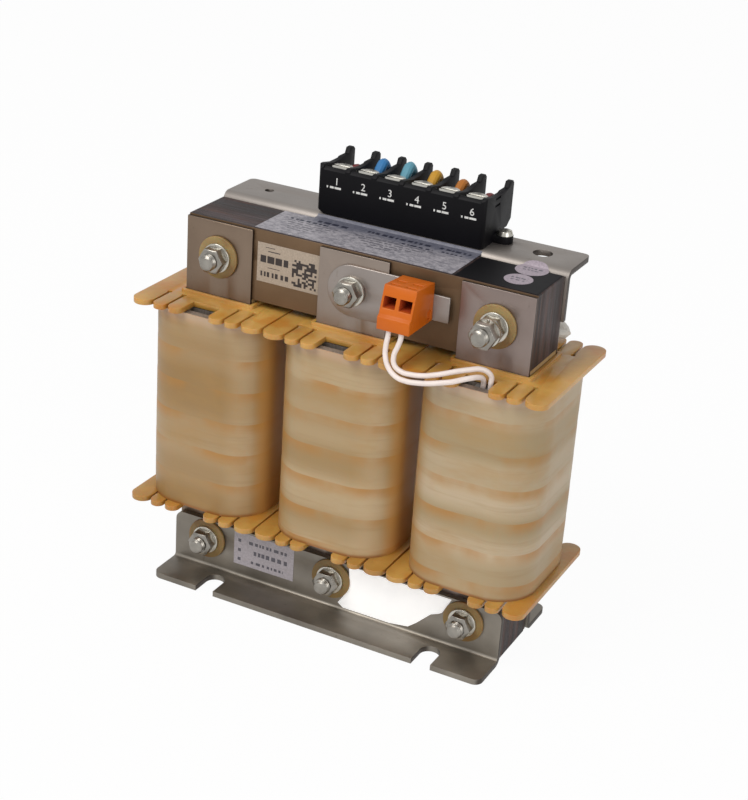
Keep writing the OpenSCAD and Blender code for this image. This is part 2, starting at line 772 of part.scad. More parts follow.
function lead_top(px, rise) = [
    [px, y_clamp, lead_z], [px, y_clamp + lead_stub, lead_z], [px, drop_y - 6, lead_z + rise * 0.7],
    [px, drop_y - 3.6, lead_z + rise], [px, drop_y - 0.9, lead_z + rise * 0.6 - 2],
    [px, drop_y, z_shelf + 5], [px, drop_y, z_shelf - 1]
];

// Straight down to the winding, a little behind it at first
function lead_foot(cx, back) = [
    [cx, lead_y + back * 0.9, z_wind_top + 12], [cx, lead_y + back / 4, z_wind_top + 5.5],
    [cx, lead_y, z_wind_top + lead_stub], [cx, lead_y, z_wind_top]
];

// With a bow to the right that lies on the flange
function lead_bow(cx, back) = [
    [cx - 1.4, lead_y + back, z_wind_top + 13], [cx + 3.2, lead_y + back * 0.8, z_wind_top + 8],
    [cx + 7.2, lead_y + 2.8, z_wind_top + 4.9], [cx + 4.6, lead_y + 0.8, z_wind_top + 4.9],
    [cx + 1.5, lead_y, z_wind_top + 4.7], [cx, lead_y, z_wind_top + lead_stub], [cx, lead_y, z_wind_top]
];

module lead(i) {
    px = pole_x[i];
    cx = coil_x[floor(i / 2)] + (i % 2 == 0 ? -lead_side : lead_side);
    back = lead_back[i];
    shade = ["#b3262a", "#2a6fa8", "#3b8fa8", "#d9a520", "#d9a520", "#b3262a"];
    middle = [px + (cx - px) * 0.55, (drop_y + lead_y + back) / 2, z_wind_top + 22];
    foot = i == poles - 1 ? lead_bow(cx, back) : lead_foot(cx, back);
    route = smooth(concat(lead_top(px, lead_rise[i]), [middle], foot), 3);
    color(shade[i]) cord(route, lead_d, 12, [1, 0, 0]);
}

// Routes of the two sensor wires, from the housing to the switch in the right coil
route_a = [
    [wire_x[0], wire_y, z_wire_exit], [wire_x[0], wire_y, z_wire_exit - 2], [21, -28, 110.2],
    [21.4, -28.8, 106.8], [23.2, -29.9, 103.8], [26.4, -30.9, 101.8], [30, -31.3, 101.4], [34, -31.3, 101.8],
    [38, -31.1, 102.6], [41.6, -30.6, 103.6], [44.8, -29.6, 104.4], [47.2, -27.6, 105], [49.2, -25.2, 105.2],
    [50.4, -22.8, 104.9], [switch_x - 1, -20.8, 104], [switch_x - 1, switch_y, 102.4],
    [switch_x - 1, switch_y, z_switch]
];
route_b = [
    [wire_x[1], wire_y, z_wire_exit], [wire_x[1], wire_y, z_wire_exit - 2], [25, -27.8, 110.6],
    [24.2, -28.6, 107.4], [25, -29.4, 104.8], [27.8, -29.9, 103.4], [31.2, -30, 103.4], [35.2, -29.8, 104],
    [38.8, -29.2, 105], [42, -28.1, 106], [45, -26.3, 106.8], [47.8, -24, 107.2], [50.4, -21.6, 107.2],
    [52.4, -20.2, 106.2], [switch_x + 1.4, switch_y, 104.6], [switch_x + 1.4, switch_y, 102.4],
    [switch_x + 1.4, switch_y, z_switch]
];

// Sensor terminal

module sensor_strip() {
    z = z_bolt_up;
    wide = housing_x + housing_w / 3;
    color("#b8b3aa") difference() {
        union() {
            rod_y(0, -y_strip, -y_strap, z, strip_h);
            translate([0, -y_strip, z - strip_h / 2]) cube([wide, strip_t, strip_h]);
            translate([0, -y_strip, z + tongue_rise - tongue_h / 2]) cube([strip_reach, strip_t, tongue_h]);
        }
        rod_y(0, -y_strip - 1, -y_strap + 1, z, washer_in);
    }
}

// Side outline of the housing, from its back forwards: roof, sloping face, ledge and underside
module housing_profile() {
    translate([-y_strip, z_housing]) mirror([1, 0]) polygon([
        [0, -roof_fall], [roof_d, 0], [roof_d + face_run, -face_drop], [housing_d, -face_drop - ledge[1]],
        [housing_d, z_wire_exit - z_housing], [0, z_wire_exit - z_housing]
    ]);
}

module sensor_housing() {
    color("#e4701e") difference() {
        along_x(housing_x, housing_x + housing_w) housing_profile();
        for (x = entry_x) {
            translate([x - entry_w / 2, -y_strip - housing_d, z_entry - entry_h / 2])
                cube([entry_w, housing_d - entry_back, entry_h]);
            for (y = slot_y) translate([x, -y_strip - y, z_housing - roof_fall * (1 - y / roof_d)])
                cube([slot_size[0], slot_size[1], 2 * slot_size[2]], center = true);
        }
        translate([housing_x + housing_w - latch[0], -y_strip - latch_y - latch[1] / 2, z_wire_exit + edge])
            cube([latch[0] + 1, latch[1], latch[2]]);
    }
}

// The spring clamps, seen at the inner end of the two entries
module sensor_clamps() {
    size = [entry_w - 2 * layer_fit, clamp_plate, entry_h - 2 * layer_fit];
    color("#8c2b14") for (x = entry_x)
        translate([x, -y_strip - entry_back - clamp_plate / 2, z_entry]) cube(size, center = true);
}

module sensor_wire_a() {
    color("#efe6dc") cord(route_a, wire_d, 8, [1, 0, 0]);
}

module sensor_wire_b() {
    color("#efe6dc") cord(route_b, wire_d, 8, [1, 0, 0]);
}

core_e_stack();
core_i_stack();
gap_spacer(coil_x[0]);  // gap_spacer_left
gap_spacer(coil_x[1]);  // gap_spacer_middle
gap_spacer(coil_x[2]);  // gap_spacer_right
strap(coil_x[0], -1);  // front_strap_left
strap(coil_x[1], -1);  // front_strap_middle
strap(coil_x[2], -1);  // front_strap_right
strap(coil_x[0], 1);  // rear_strap_left
strap(coil_x[1], 1);  // rear_strap_middle
strap(coil_x[2], 1);  // rear_strap_right
bobbin(coil_x[0]);  // bobbin_left
bobbin(coil_x[1]);  // bobbin_middle
bobbin(coil_x[2]);  // bobbin_right
inner_winding(coil_x[0]);  // inner_winding_left
inner_winding(coil_x[1]);  // inner_winding_middle
inner_winding(coil_x[2]);  // inner_winding_right
duct_spacers(coil_x[0]);  // duct_spacers_left
duct_spacers(coil_x[1]);  // duct_spacers_middle
duct_spacers(coil_x[2]);  // duct_spacers_right
outer_winding(coil_x[0]);  // outer_winding_left
outer_winding(coil_x[1]);  // outer_winding_middle
outer_winding(coil_x[2]);  // outer_winding_right
coil_wrap(coil_x[0]);  // coil_wrap_left
coil_wrap(coil_x[1]);  // coil_wrap_middle
coil_wrap(coil_x[2]);  // coil_wrap_right
thermal_switch();
foot_bracket_front();
foot_bracket_rear();
terminal_bracket();
core_bolts();
earth_bolt();
bolt_sleeves();
fibre_washers();
steel_washers();
hex_nuts();
spring_washer();
block_housing();
block_clamps();
block_screws();
block_fixings();
lead(0);  // lead_1
lead(1);  // lead_2
lead(2);  // lead_3
lead(3);  // lead_4
lead(4);  // lead_5
lead(5);  // lead_6
sensor_strip();
sensor_housing();
sensor_clamps();
sensor_wire_a();
sensor_wire_b();
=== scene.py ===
# %% [markdown]
# A three-phase reactor on a studio floor
#
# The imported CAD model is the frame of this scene. It already holds every solid piece at its real
# size: the laminated core, the coils, the brackets, the bolts, the terminal block and the small
# orange sensor terminal. This script adds what solids lack: the look of each material, rounded
# edges, the laps of the coil tape, threads, labels and wires.

# %% Load the frame
import json
import math
import random

import bmesh
import bpy
from mathutils import Matrix, Vector

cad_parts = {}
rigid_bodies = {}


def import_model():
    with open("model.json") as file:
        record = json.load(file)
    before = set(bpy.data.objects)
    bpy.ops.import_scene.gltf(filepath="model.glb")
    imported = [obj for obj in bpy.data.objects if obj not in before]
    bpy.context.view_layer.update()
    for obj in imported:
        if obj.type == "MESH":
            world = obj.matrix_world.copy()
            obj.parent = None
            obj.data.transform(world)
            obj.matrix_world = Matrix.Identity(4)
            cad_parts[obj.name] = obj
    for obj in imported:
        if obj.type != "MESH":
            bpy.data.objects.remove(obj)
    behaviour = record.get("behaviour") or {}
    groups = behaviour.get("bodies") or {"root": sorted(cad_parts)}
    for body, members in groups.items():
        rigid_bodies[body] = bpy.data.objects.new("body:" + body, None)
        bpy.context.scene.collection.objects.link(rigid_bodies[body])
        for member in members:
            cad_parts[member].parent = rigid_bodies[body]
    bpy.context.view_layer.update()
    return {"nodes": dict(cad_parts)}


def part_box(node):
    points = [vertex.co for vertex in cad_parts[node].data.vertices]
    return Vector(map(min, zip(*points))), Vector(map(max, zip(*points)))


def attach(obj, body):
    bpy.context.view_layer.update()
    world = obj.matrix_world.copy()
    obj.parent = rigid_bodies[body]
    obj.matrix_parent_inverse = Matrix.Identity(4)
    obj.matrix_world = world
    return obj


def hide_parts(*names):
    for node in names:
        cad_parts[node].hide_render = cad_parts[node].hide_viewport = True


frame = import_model()
MM = 0.001
SIDES = ("left", "middle", "right")


def reach(node):
    """The lower and the upper corner of a CAD node's box, in millimetres."""
    return [[round(v / MM, 2) for v in corner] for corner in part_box(node)]


print("nodes:", len(frame["nodes"]))

# %% [markdown]
# The camera stands where the photographer stood. Its angles, distance and focal length were worked
# out from the places of bolts, corners and edges in the picture, so they are given as an azimuth, an
# elevation, a roll and a distance. A camera matrix has its own right, up and backward directions as
# columns, so those three are worked out here and written straight into it.

# %% Camera
PICTURE_WIDTH = 748
FOCAL_PIXELS = 1763.1
SENSOR = 36.0
AZIMUTH = math.radians(25.78)
ELEVATION = math.radians(24.70)
ROLL = math.radians(4.06)
DISTANCE = 586.9 * MM
TARGET = Vector((4.70, 0.0, 76.25)) * MM


def camera_directions(azimuth, elevation, roll):
    """Right, up and backward directions of a camera that looks at its target from these angles."""
    back = Vector((
        math.sin(azimuth) * math.cos(elevation),
        -math.cos(azimuth) * math.cos(elevation),
        math.sin(elevation),
    ))
    level_right = Vector((math.cos(azimuth), math.sin(azimuth), 0.0))
    level_up = back.cross(level_right)
    right = level_right * math.cos(roll) + level_up * math.sin(roll)
    up = level_up * math.cos(roll) - level_right * math.sin(roll)
    return right, up, back


def add_camera():
    """The photograph's camera."""
    right, up, back = camera_directions(AZIMUTH, ELEVATION, ROLL)
    data = bpy.data.cameras.new("photo_camera")
    data.sensor_fit = "HORIZONTAL"
    data.sensor_width = SENSOR
    data.lens = FOCAL_PIXELS / PICTURE_WIDTH * SENSOR
    camera = bpy.data.objects.new("photo_camera", data)
    camera.matrix_world = Matrix.Translation(TARGET + back * DISTANCE) @ Matrix(
        (right, up, back)).transposed().to_4x4()
    bpy.context.collection.objects.link(camera)
    bpy.context.scene.camera = camera
    return camera


print("lens:", round(add_camera().data.lens, 2), "mm")

# %% [markdown]
# Pieces that this script adds are meshes in the frame's own metres, with their object at the origin.
# So object coordinates in a material are places on the real reactor, for CAD nodes and new pieces
# alike, and a pattern runs on from one piece to the next. The helper below makes such an object, and
# lets it ride on the reactor's single body.

# %% Helper for new pieces
BODY = "root"


def add_piece(name, mesh, finish, replaces=(), smooth_angle=0):
    """An object for a mesh that is already in place; it may stand for CAD nodes."""
    piece = bpy.data.objects.new(name, mesh)
    bpy.context.collection.objects.link(piece)
    if smooth_angle:
        mesh.shade_smooth()
        mesh.set_sharp_from_angle(angle=math.radians(smooth_angle))
    mesh.materials.clear()
    mesh.materials.append(finish)
    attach(piece, BODY)
    if replaces:
        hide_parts(*replaces)


def mesh_from(name, vertices, faces):
    """A mesh from places in metres and faces as lists of vertex numbers."""
    mesh = bpy.data.meshes.new(name)
    mesh.from_pydata([tuple(v) for v in vertices], [], faces)
    mesh.update()
    return mesh


print("new pieces ride on body:", BODY)

# %% [markdown]
# A material is a small program. To keep that program readable, a socket is wrapped in a class whose
# plus, minus and times signs add Math nodes, so that 1 - mask * 0.5 in Python becomes the nodes that
# say the same. Only numbers go that way: a Math node would turn a colour grey.

# %% A socket to calculate with


class Signal:
    """A socket that carries a number, and that sums and products can be written with."""

    def __init__(self, tree, socket):
        self.tree = tree
        self.socket = socket

    def math(self, operation, first, second=None):
        """A Math node on one or two values."""
        inputs = {0: first} if second is None else {0: first, 1: second}
        return self.tree.node("ShaderNodeMath", {"operation": operation}, inputs)

    def __add__(self, other):
        return self.math("ADD", self, other)

    __radd__ = __add__

    def __sub__(self, other):
        return self.math("SUBTRACT", self, other)

    def __rsub__(self, other):
        return self.math("SUBTRACT", other, self)

    def __mul__(self, other):
        return self.math("MULTIPLY", self, other)

    __rmul__ = __mul__

    def __truediv__(self, other):
        return self.math("DIVIDE", self, other)

    def fraction(self):
        return self.math("FRACT", self)

    def distance(self):
        return self.math("ABSOLUTE", self)

    def below(self, edge):
        return self.math("LESS_THAN", self, edge)

    def ramp(self, low, high):
        """0 up to low, 1 from high on, and a smooth rise between them; low may be the larger."""
        settings = {"interpolation_type": "SMOOTHSTEP"}
        start, end = (low, high) if low < high else (high, low)
        rise = self.tree.node("ShaderNodeMapRange", settings, {"Value": self, 1: start, 2: end})
        return rise if low < high else 1 - rise


print("class made:", Signal.__name__)

# %% [markdown]
# Every other node comes from one method. It takes the node's type, its settings and the values or
# links of its sockets, in that order, because a setting can change which sockets there are.

# %% A tree of nodes


class Tree:
    """The nodes of a material or of the world, with one method that adds any node."""

    def __init__(self, owner):
        owner.use_nodes = True
        self.nodes = owner.node_tree.nodes
        self.links = owner.node_tree.links

    def node(self, kind, settings=None, inputs=None, output=0):
        """Any node: its settings come first, then the values or links of its sockets."""
        made = self.nodes.new(kind)
        for key, value in (settings or {}).items():
            setattr(made, key, value)
        for key, value in (inputs or {}).items():
            self.connect(value, made.inputs[key])
        return Signal(self, made.outputs[output])

    def connect(self, value, socket):
        """Links a signal to a socket, or sets the socket to a plain value."""
        if isinstance(value, Signal):
            self.links.new(value.socket, socket)
        else:
            socket.default_value = value


print("class made:", Tree.__name__)

# %% [markdown]
# A finish is a material whose one Principled shader gets its colour, roughness and bumps from such
# expressions. It knows its place on the reactor in millimetres, which way a face looks, and how to
# make noise, because rolled, cast and printed surfaces are never quite even. Colours are mixed with
# Mix nodes.

# %% A material with one shader
MIX_FACTOR, MIX_FIRST, MIX_SECOND, MIX_RESULT = 0, 6, 7, 2


class Finish(Tree):
    """A material with one Principled shader."""

    def __init__(self, name):
        self.material = bpy.data.materials.new(name)
        super().__init__(self.material)
        self.surface = self.nodes["Principled BSDF"]
        self.place = self.node("ShaderNodeTexCoord", output="Object")
        self.x, self.y, self.z = (self.part(self.place, axis) * (1 / MM) for axis in "XYZ")

    def part(self, vector, axis):
        """The X, Y or Z part of a vector."""
        return self.node("ShaderNodeSeparateXYZ", {}, {0: vector}, axis)

    def facing(self, axis):
        """How squarely a face looks along an axis, either way, from 0 to 1."""
        return self.part(self.node("ShaderNodeNewGeometry", output="Normal"), axis).distance()

    def noise(self, scale, detail=3.0, stretch=(1, 1, 1), roughness=0.5, shift=0.0):
        """Cloudy noise of about 0 to 1; scale is in bumps a metre, and stretch squeezes the axes."""
        place = self.node("ShaderNodeVectorMath", {"operation": "MULTIPLY_ADD"},
                          {0: self.place, 1: tuple(stretch), 2: (shift, shift, shift)})
        return self.node("ShaderNodeTexNoise", {}, {
            "Vector": place, "Scale": scale, "Detail": detail, "Roughness": roughness}, "Fac")

    def mix(self, factor, first, second):
        """A colour between two colours."""
        inputs = {MIX_FACTOR: factor, MIX_FIRST: first, MIX_SECOND: second}
        return self.node("ShaderNodeMix", {"data_type": "RGBA"}, inputs, MIX_RESULT)

    def bump(self, height, strength, depth=0.1 * MM, normal=None):
        """A normal that makes height stand out by about depth."""
        inputs = {"Height": height, "Strength": strength, "Distance": depth}
        if normal is not None:
            inputs["Normal"] = normal
        return self.node("ShaderNodeBump", {}, inputs)

    def set(self, **sockets):
        """Values or links of the Principled shader, by name with _ for a space."""
        for key, value in sockets.items():
            name = key.replace("_", " ")
            self.connect(value, self.surface.inputs[name])
        return self.material


print("class made:", Finish.__name__)

# %% [markdown]
# A picture on a screen stores brightness on a curve, but the renderer adds up light in linear
# numbers. So a colour that is read from a screen, as three levels from 0 to 255, is changed by the
# standard curve before it goes into a socket.

# %% Colours


def rgb(red, green, blue):
    """A colour as a painter reads it from a screen, 0 to 255, in the renderer's linear numbers."""
    def linear(level):
        level = level / 255
        return level / 12.92 if level <= 0.04045 else ((level + 0.055) / 1.055) ** 2.4
    return linear(red), linear(green), linear(blue), 1.0


print("half of full screen brightness is", round(rgb(128, 128, 128)[0], 3), "of full light")

# %% [markdown]
# The two thin white wires of the sensor terminal come first, because they are the only free cords.
# They leave the orange housing, sag in front of the flange, rise over it and go down into the right
# coil. The points are those that the CAD solids follow. A smooth curve passes through them, and a
# bevel gives it the wire's thickness. The curve is a little longer than straight lines from point to
# point, which the slack allows for.

# %% Sensor wires
WIRE = 1.7 * MM
WIRE_POINTS = {
    "sensor_wire_a": (
        (21.2, -27.5, 115.1), (21.2, -27.5, 113.1), (21, -28, 110.2), (21.4, -28.8, 106.8),
        (23.2, -29.9, 103.8), (26.4, -30.9, 101.8), (30, -31.3, 101.4), (34, -31.3, 101.8),
        (38, -31.1, 102.6), (41.6, -30.6, 103.6), (44.8, -29.6, 104.4), (47.2, -27.6, 105),
        (49.2, -25.2, 105.2), (50.4, -22.8, 104.9), (51, -20.8, 104), (51, -19.5, 102.4),
        (51, -19.5, 100.4),
    ),
    "sensor_wire_b": (
        (25.6, -27.5, 115.1), (25.6, -27.5, 113.1), (25, -27.8, 110.6), (24.2, -28.6, 107.4),
        (25, -29.4, 104.8), (27.8, -29.9, 103.4), (31.2, -30, 103.4), (35.2, -29.8, 104),
        (38.8, -29.2, 105), (42, -28.1, 106), (45, -26.3, 106.8), (47.8, -24, 107.2),
        (50.4, -21.6, 107.2), (52.4, -20.2, 106.2), (53.4, -19.5, 104.6), (53.4, -19.5, 102.4),
        (53.4, -19.5, 100.4),
    ),
}


def white_wire():
    """Soft silicone insulation: milky, faintly pink, with a dull gloss."""
    finish = Finish("white_silicone")
    patches = finish.noise(260, 2)
    colour = finish.mix(patches, rgb(222, 208, 202), rgb(240, 228, 222))
    return finish.set(Base_Color=colour, Roughness=0.42)


def add_wire(name, points, finish):
    """A round wire along a smooth curve through the points, in place of its CAD node."""
    curve = bpy.data.curves.new(name + "_look", "CURVE")
    curve.dimensions = "3D"
    curve.bevel_depth = WIRE / 2
    curve.bevel_resolution = 4
    curve.use_fill_caps = True
    spline = curve.splines.new("BEZIER")
    spline.bezier_points.add(len(points) - 1)
    for knot, point in zip(spline.bezier_points, points):
        knot.co = Vector(point) * MM
        knot.handle_left_type = knot.handle_right_type = "AUTO"
    spline.resolution_u = 6
    wire = bpy.data.objects.new(name + "_look", curve)
    bpy.context.collection.objects.link(wire)
    curve.materials.append(finish)
    length = sum((Vector(b) - Vector(a)).length for a, b in zip(points, points[1:])) * MM
    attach(wire, BODY)
    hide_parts(name)
    return length


white_silicone = white_wire()
for name, points in WIRE_POINTS.items():
    print(name, "is", round(add_wire(name, points, white_silicone) / MM, 1), "mm long")

# %% [markdown]
# Machined and moulded parts never have razor edges. A CAD node may not be changed, so a piece whose
# edges show is made again from a copy of its mesh: flat neighbours are joined into one face, and
# every edge between faces that meet at an angle gets a small round bevel that catches the light.

# %% Rounded copies of solids
SHARP_EDGE = math.radians(28)
FLAT = math.radians(1)
WELD = 0.002 * MM


def rounded_mesh(node, radius, segments):
    """A copy of a CAD node's mesh with its edges rounded."""
    mesh = frame["nodes"][node].data.copy()
    build = bmesh.new()
    build.from_mesh(mesh)
    bmesh.ops.remove_doubles(build, verts=build.verts, dist=WELD)
    bmesh.ops.dissolve_limit(build, angle_limit=FLAT, verts=build.verts, edges=build.edges)
    sharp = [e for e in build.edges
             if len(e.link_faces) == 2 and e.calc_face_angle(0.0) > SHARP_EDGE]
    bmesh.ops.bevel(build, geom=sharp, offset=radius, offset_type="OFFSET", segments=segments,
                    profile=0.5, affect="EDGES", clamp_overlap=True)
    build.to_mesh(mesh)
    build.free()
    return mesh


def soften(node, radius, finish, segments=2):
    """A rounded piece in place of a CAD node; the radius is in metres."""
    mesh = rounded_mesh(node, radius, segments)
    add_piece(node + "_soft", mesh, finish, replaces=[node], smooth_angle=40)


print("edges sharper than", round(math.degrees(SHARP_EDGE)), "degrees get a bevel")

# %% [markdown]
# The core is a stack of thin varnished sheets that lie in planes facing the viewer. The faces in
# front and behind are whole sheets: dark, smooth, with a brown sheen. The top, the ends and the
# inside of the windows show the sheets' cut edges as fine lines, half a millimetre apart. The
# normal's Y part tells the two kinds of face apart.

# %% Varnished laminations
SHEET_PITCH = 0.5
YOKE_LOW, YOKE_HIGH = reach("core_i_stack")


def laminations():
    """Dark varnished sheets: plain in front, lined across their edges."""
    finish = Finish("varnished_laminations")
    facing = finish.facing("Y").ramp(0.4, 0.8)
    edge = ((finish.y + finish.noise(40, 2, (0.4, 1, 0.4)) * 0.5) / SHEET_PITCH).fraction()
    line = (edge - 0.5).distance().ramp(0.34, 0.5)
    streak = finish.noise(900, 4, (0.03, 1, 0.03), 0.7).ramp(0.34, 0.66)
    rust = finish.noise(420, 5, (0.06, 1, 0.06), 0.7, 5.0).ramp(0.5, 0.68)
    worn = finish.noise(190, 4, (0.08, 1, 0.08), 0.65, 2.0).ramp(0.48, 0.66)
    cloud = finish.noise(60, 4)
    cut = finish.mix(streak, rgb(24, 19, 21), rgb(64, 52, 51))
    cut = finish.mix(worn * 0.6, cut, rgb(104, 90, 92))
    cut = finish.mix(rust * 0.6, cut, rgb(98, 60, 44))
    cut = finish.mix(line * 0.75, cut, rgb(14, 11, 12))
    sheet = finish.mix(cloud, rgb(84, 65, 47), rgb(126, 101, 75))
    height = (1 - line) * (1 - facing)
    return finish.set(
        Base_Color=finish.mix(facing, cut, sheet),
        Roughness=0.38 + streak * 0.2,
        Metallic=0.25,
        Specular_IOR_Level=0.3,
        Normal=finish.bump(height, 0.5, 0.12 * MM))


varnish = laminations()
for name in ("core_e_stack", "core_i_stack"):
    soften(name, 0.15 * MM, varnish, 1)
print("sheets in the core:", round((YOKE_HIGH[1] - YOKE_LOW[1]) / SHEET_PITCH))

# %% [markdown]
# Straps, brackets and strip are bright rolled steel with a thin zinc skin. Rolling leaves fine lines
# along the sheet and zinc leaves soft grey clouds. The clouds change the colour, and both change the
# roughness, because it is the reflection that tells a person that this is metal. The rim of a sheet
# is painted dark: painted shade, which also dims the highlight on its rounded edges. A strap is thin
# along Y, so all that doesn't face along Y is rim. On the folded brackets only the two ends, which
# face along X, are.

# %% Sheet steel


def rim_painted_shade(finish, rim):
    """1 where shade is painted on a sheet's rim: a strap's whole rim, or a folded bracket's two ends.
    """
    if rim == "ends":
        return finish.facing("X").ramp(0.3, 0.8)
    return finish.facing("Y").ramp(0.9, 0.5)


def sheet_steel(name, light, dark, roughness, grain=(0.04, 1, 1), rim=None):
    """Rolled steel: cloudy zinc, fine lines along the sheet, a few scuffs, and painted shade on its
    rim.
    """
    finish = Finish(name)
    cloud = finish.noise(45, 4)
    lines = finish.noise(1400, 3, grain, 0.6)
    scuffs = finish.noise(420, 5, (1, 1, 0.3), 0.75, 3.0).ramp(0.60, 0.72)
    colour = finish.mix(cloud, dark, light)
    colour = finish.mix(scuffs * 0.35, colour, rgb(96, 86, 74))
    if rim:
        # Painted shade on the rim.
        colour = finish.mix(rim_painted_shade(finish, rim) * 0.8, colour, rgb(52, 44, 40))
    return finish.set(
        Base_Color=colour,
        Metallic=0.92,
        Roughness=roughness + lines * 0.12 + cloud * 0.08,
        Normal=finish.bump(lines, 0.12, 0.03 * MM))


STRAP_TONES = {
    "left": ((146, 128, 112), (114, 97, 82)),
    "middle": ((162, 150, 140), (130, 115, 105)),
    "right": ((160, 147, 142), (126, 111, 104)),
}
for side, (light, dark) in STRAP_TONES.items():
    strap_steel = sheet_steel("strap_steel_" + side, rgb(*light), rgb(*dark), 0.26, rim="whole")
    soften("front_strap_" + side, 0.2 * MM, strap_steel)
    soften("rear_strap_" + side, 0.2 * MM, strap_steel)
bracket_steel = sheet_steel(
    "galvanised_sheet", rgb(170, 163, 158), rgb(132, 125, 119), 0.38, rim="ends")
strip_steel = sheet_steel("strip_sheet", rgb(168, 160, 155), rgb(136, 126, 120), 0.30)
foot_steel = sheet_steel("foot_sheet", rgb(172, 165, 154), rgb(84, 79, 73), 0.34, rim="ends")
soften("terminal_bracket", 0.25 * MM, bracket_steel)
soften("sensor_strip", 0.25 * MM, strip_steel)
for name in ("foot_bracket_front", "foot_bracket_rear"):
    soften(name, 0.25 * MM, foot_steel)
print("straps and folded sheets rounded:", 2 * len(STRAP_TONES) + 4)

# %% [markdown]
# Bolts, nuts and washers are zinc plated. The stud tips in front need their thread: a helix that
# stands a little out of the bolt. A thread is a surface whose radius goes up and down along the axis
# and whose pattern moves on by one pitch a turn, so it is made as a grid of rings.

# %% Fasteners
BOLT_RADIUS = 2.5
PITCH = 0.8
THREAD_DEPTH = 0.34
THREAD_LIFT = 0.02
TIP_CHAMFER = 0.5
TIP_LENGTH = 0.6
STUD_END = 2.3


def zinc_plate(name, dark, light):
    """Zinc with soft clouds and tiny pits."""
    finish = Finish(name)
    cloud = finish.noise(300, 3)
    pits = finish.noise(2600, 2)
    colour = finish.mix(cloud, dark, light)
    return finish.set(Base_Color=colour, Metallic=0.95, Roughness=0.2 + cloud * 0.18,
                      Normal=finish.bump(pits, 0.1, 0.03 * MM))


def thread_mesh(name, x, z, y_start, y_end):
    """A threaded stud end along Y from y_start to the tip at y_end, in millimetres."""
    around, rows_per_pitch = 32, 8
    rows = int(abs(y_end - y_start) / PITCH * rows_per_pitch) + 1
    vertices, faces = [], []
    for row in range(rows + 1):
        y = y_start + (y_end - y_start) * row / rows
        taper = min(1.0, abs(y_end - y) / TIP_LENGTH)
        for k in range(around):
            turn = k / around
            wave = abs(((abs(y - y_start) / PITCH + turn) % 1.0) - 0.5) * 2
            height = THREAD_LIFT + THREAD_DEPTH * (1 - wave) - TIP_CHAMFER * (1 - taper)
            radius = BOLT_RADIUS + height
            angle = 2 * math.pi * turn
            across, up = radius * math.cos(angle), radius * math.sin(angle)
            vertices.append(Vector((x + across, y, z + up)) * MM)
    for row in range(rows):
        for k in range(around):
            a, b = row * around + k, row * around + (k + 1) % around
            faces.append((a, b, b + around, a + around))
    faces.append(tuple(rows * around + k for k in reversed(range(around))))
    faces.append(tuple(range(around)))
    return mesh_from(name, vertices, faces)


zinc = zinc_plate("zinc_plate", rgb(176, 172, 162), rgb(220, 218, 210))
# Bolts, nuts and stud threads get a darker copy of the zinc: painted shade for their dark sides.
shaded_nut_zinc = zinc_plate("shaded_nut_zinc", rgb(118, 114, 108), rgb(176, 172, 164))
for name in ("steel_washers", "spring_washer", "block_fixings"):
    soften(name, 0.16 * MM, zinc, 2)
for name in ("core_bolts", "earth_bolt", "hex_nuts"):
    soften(name, 0.2 * MM, shaded_nut_zinc, 2)
LOWER_ROW, UPPER_ROW = 13.0, 118.0
STUDS = [(x, LOWER_ROW, -19.7) for x in (-50, 0, 50)]
STUDS += [(-50, UPPER_ROW, -17.7), (0, UPPER_ROW, -17.7), (50, UPPER_ROW, -23.0)]
for number, (x, z, nut_face) in enumerate(STUDS):
    name = "stud_thread_%d" % number
    mesh = thread_mesh(name, x, z, nut_face, nut_face - STUD_END)
    add_piece(name, mesh, shaded_nut_zinc, smooth_angle=50)
print("fasteners rounded, threads:", len(STUDS))

# %% [markdown]
# The bobbins are moulded in an amber plastic that lets some light through, so thin fingers glow a
# little more than thick parts. Below a height of 60 mm the plastic is painted a little darker: painted
# shade on the lower flanges, under the coils. The fibre washers have the same honey colour but are
# duller.

# %% Amber bobbins and washers
LOWER_FLANGES = 60.0


def amber(name, light, dark, resin, roughness, coat):
    """Honey-coloured plastic with soft clouds, drops of resin, small pores and painted shade low down.
    """
    finish = Finish(name)
    cloud = finish.noise(55, 3)
    fine = finish.noise(900, 3)
    drops = finish.noise(240, 2, shift=4.0)
    colour = finish.mix(cloud.ramp(0.3, 0.7), dark, light)
    colour = finish.mix(finish.noise(80, 2, shift=2.0).ramp(0.52, 0.66) * 0.6, colour, resin)
    # Painted shade: a little darker below LOWER_FLANGES, under the coils.
    colour = finish.mix(finish.z.below(LOWER_FLANGES) * 0.2, colour, rgb(140, 104, 50))
    return finish.set(
        Base_Color=colour,
        Roughness=roughness + fine * 0.1,
        Normal=finish.bump(drops, 0.35, 0.5 * MM, finish.bump(fine, 0.15, 0.05 * MM)),
        Coat_Weight=coat,
        Coat_Roughness=0.1,
        Subsurface_Weight=0.25,
        Subsurface_Scale=2.0 * MM)


amber_plastic = amber(
    "amber_plastic", rgb(200, 154, 78), rgb(172, 125, 52), rgb(184, 116, 26), 0.34, 0.3)
amber_fibre = amber(
    "amber_fibre", rgb(152, 128, 80), rgb(122, 98, 56), rgb(112, 78, 36), 0.42, 0.0)
for side in SIDES:
    soften("bobbin_" + side, 0.25 * MM, amber_plastic)
soften("fibre_washers", 0.2 * MM, amber_fibre)
print("amber bobbins:", len(SIDES))

# %% [markdown]
# Each coil is bound with resin-soaked tape. It goes round in level laps, so a coil looks like a
# rounded column of soft bands. Resin has gathered along the laps and looks orange. A subdivided box
# would give the column but not the laps, so the wrap is made as rings around the coil's rounded
# outline. They need points that are evenly spaced along that outline, each with the direction that
# looks straight out of it.

# %% Outline of a coil


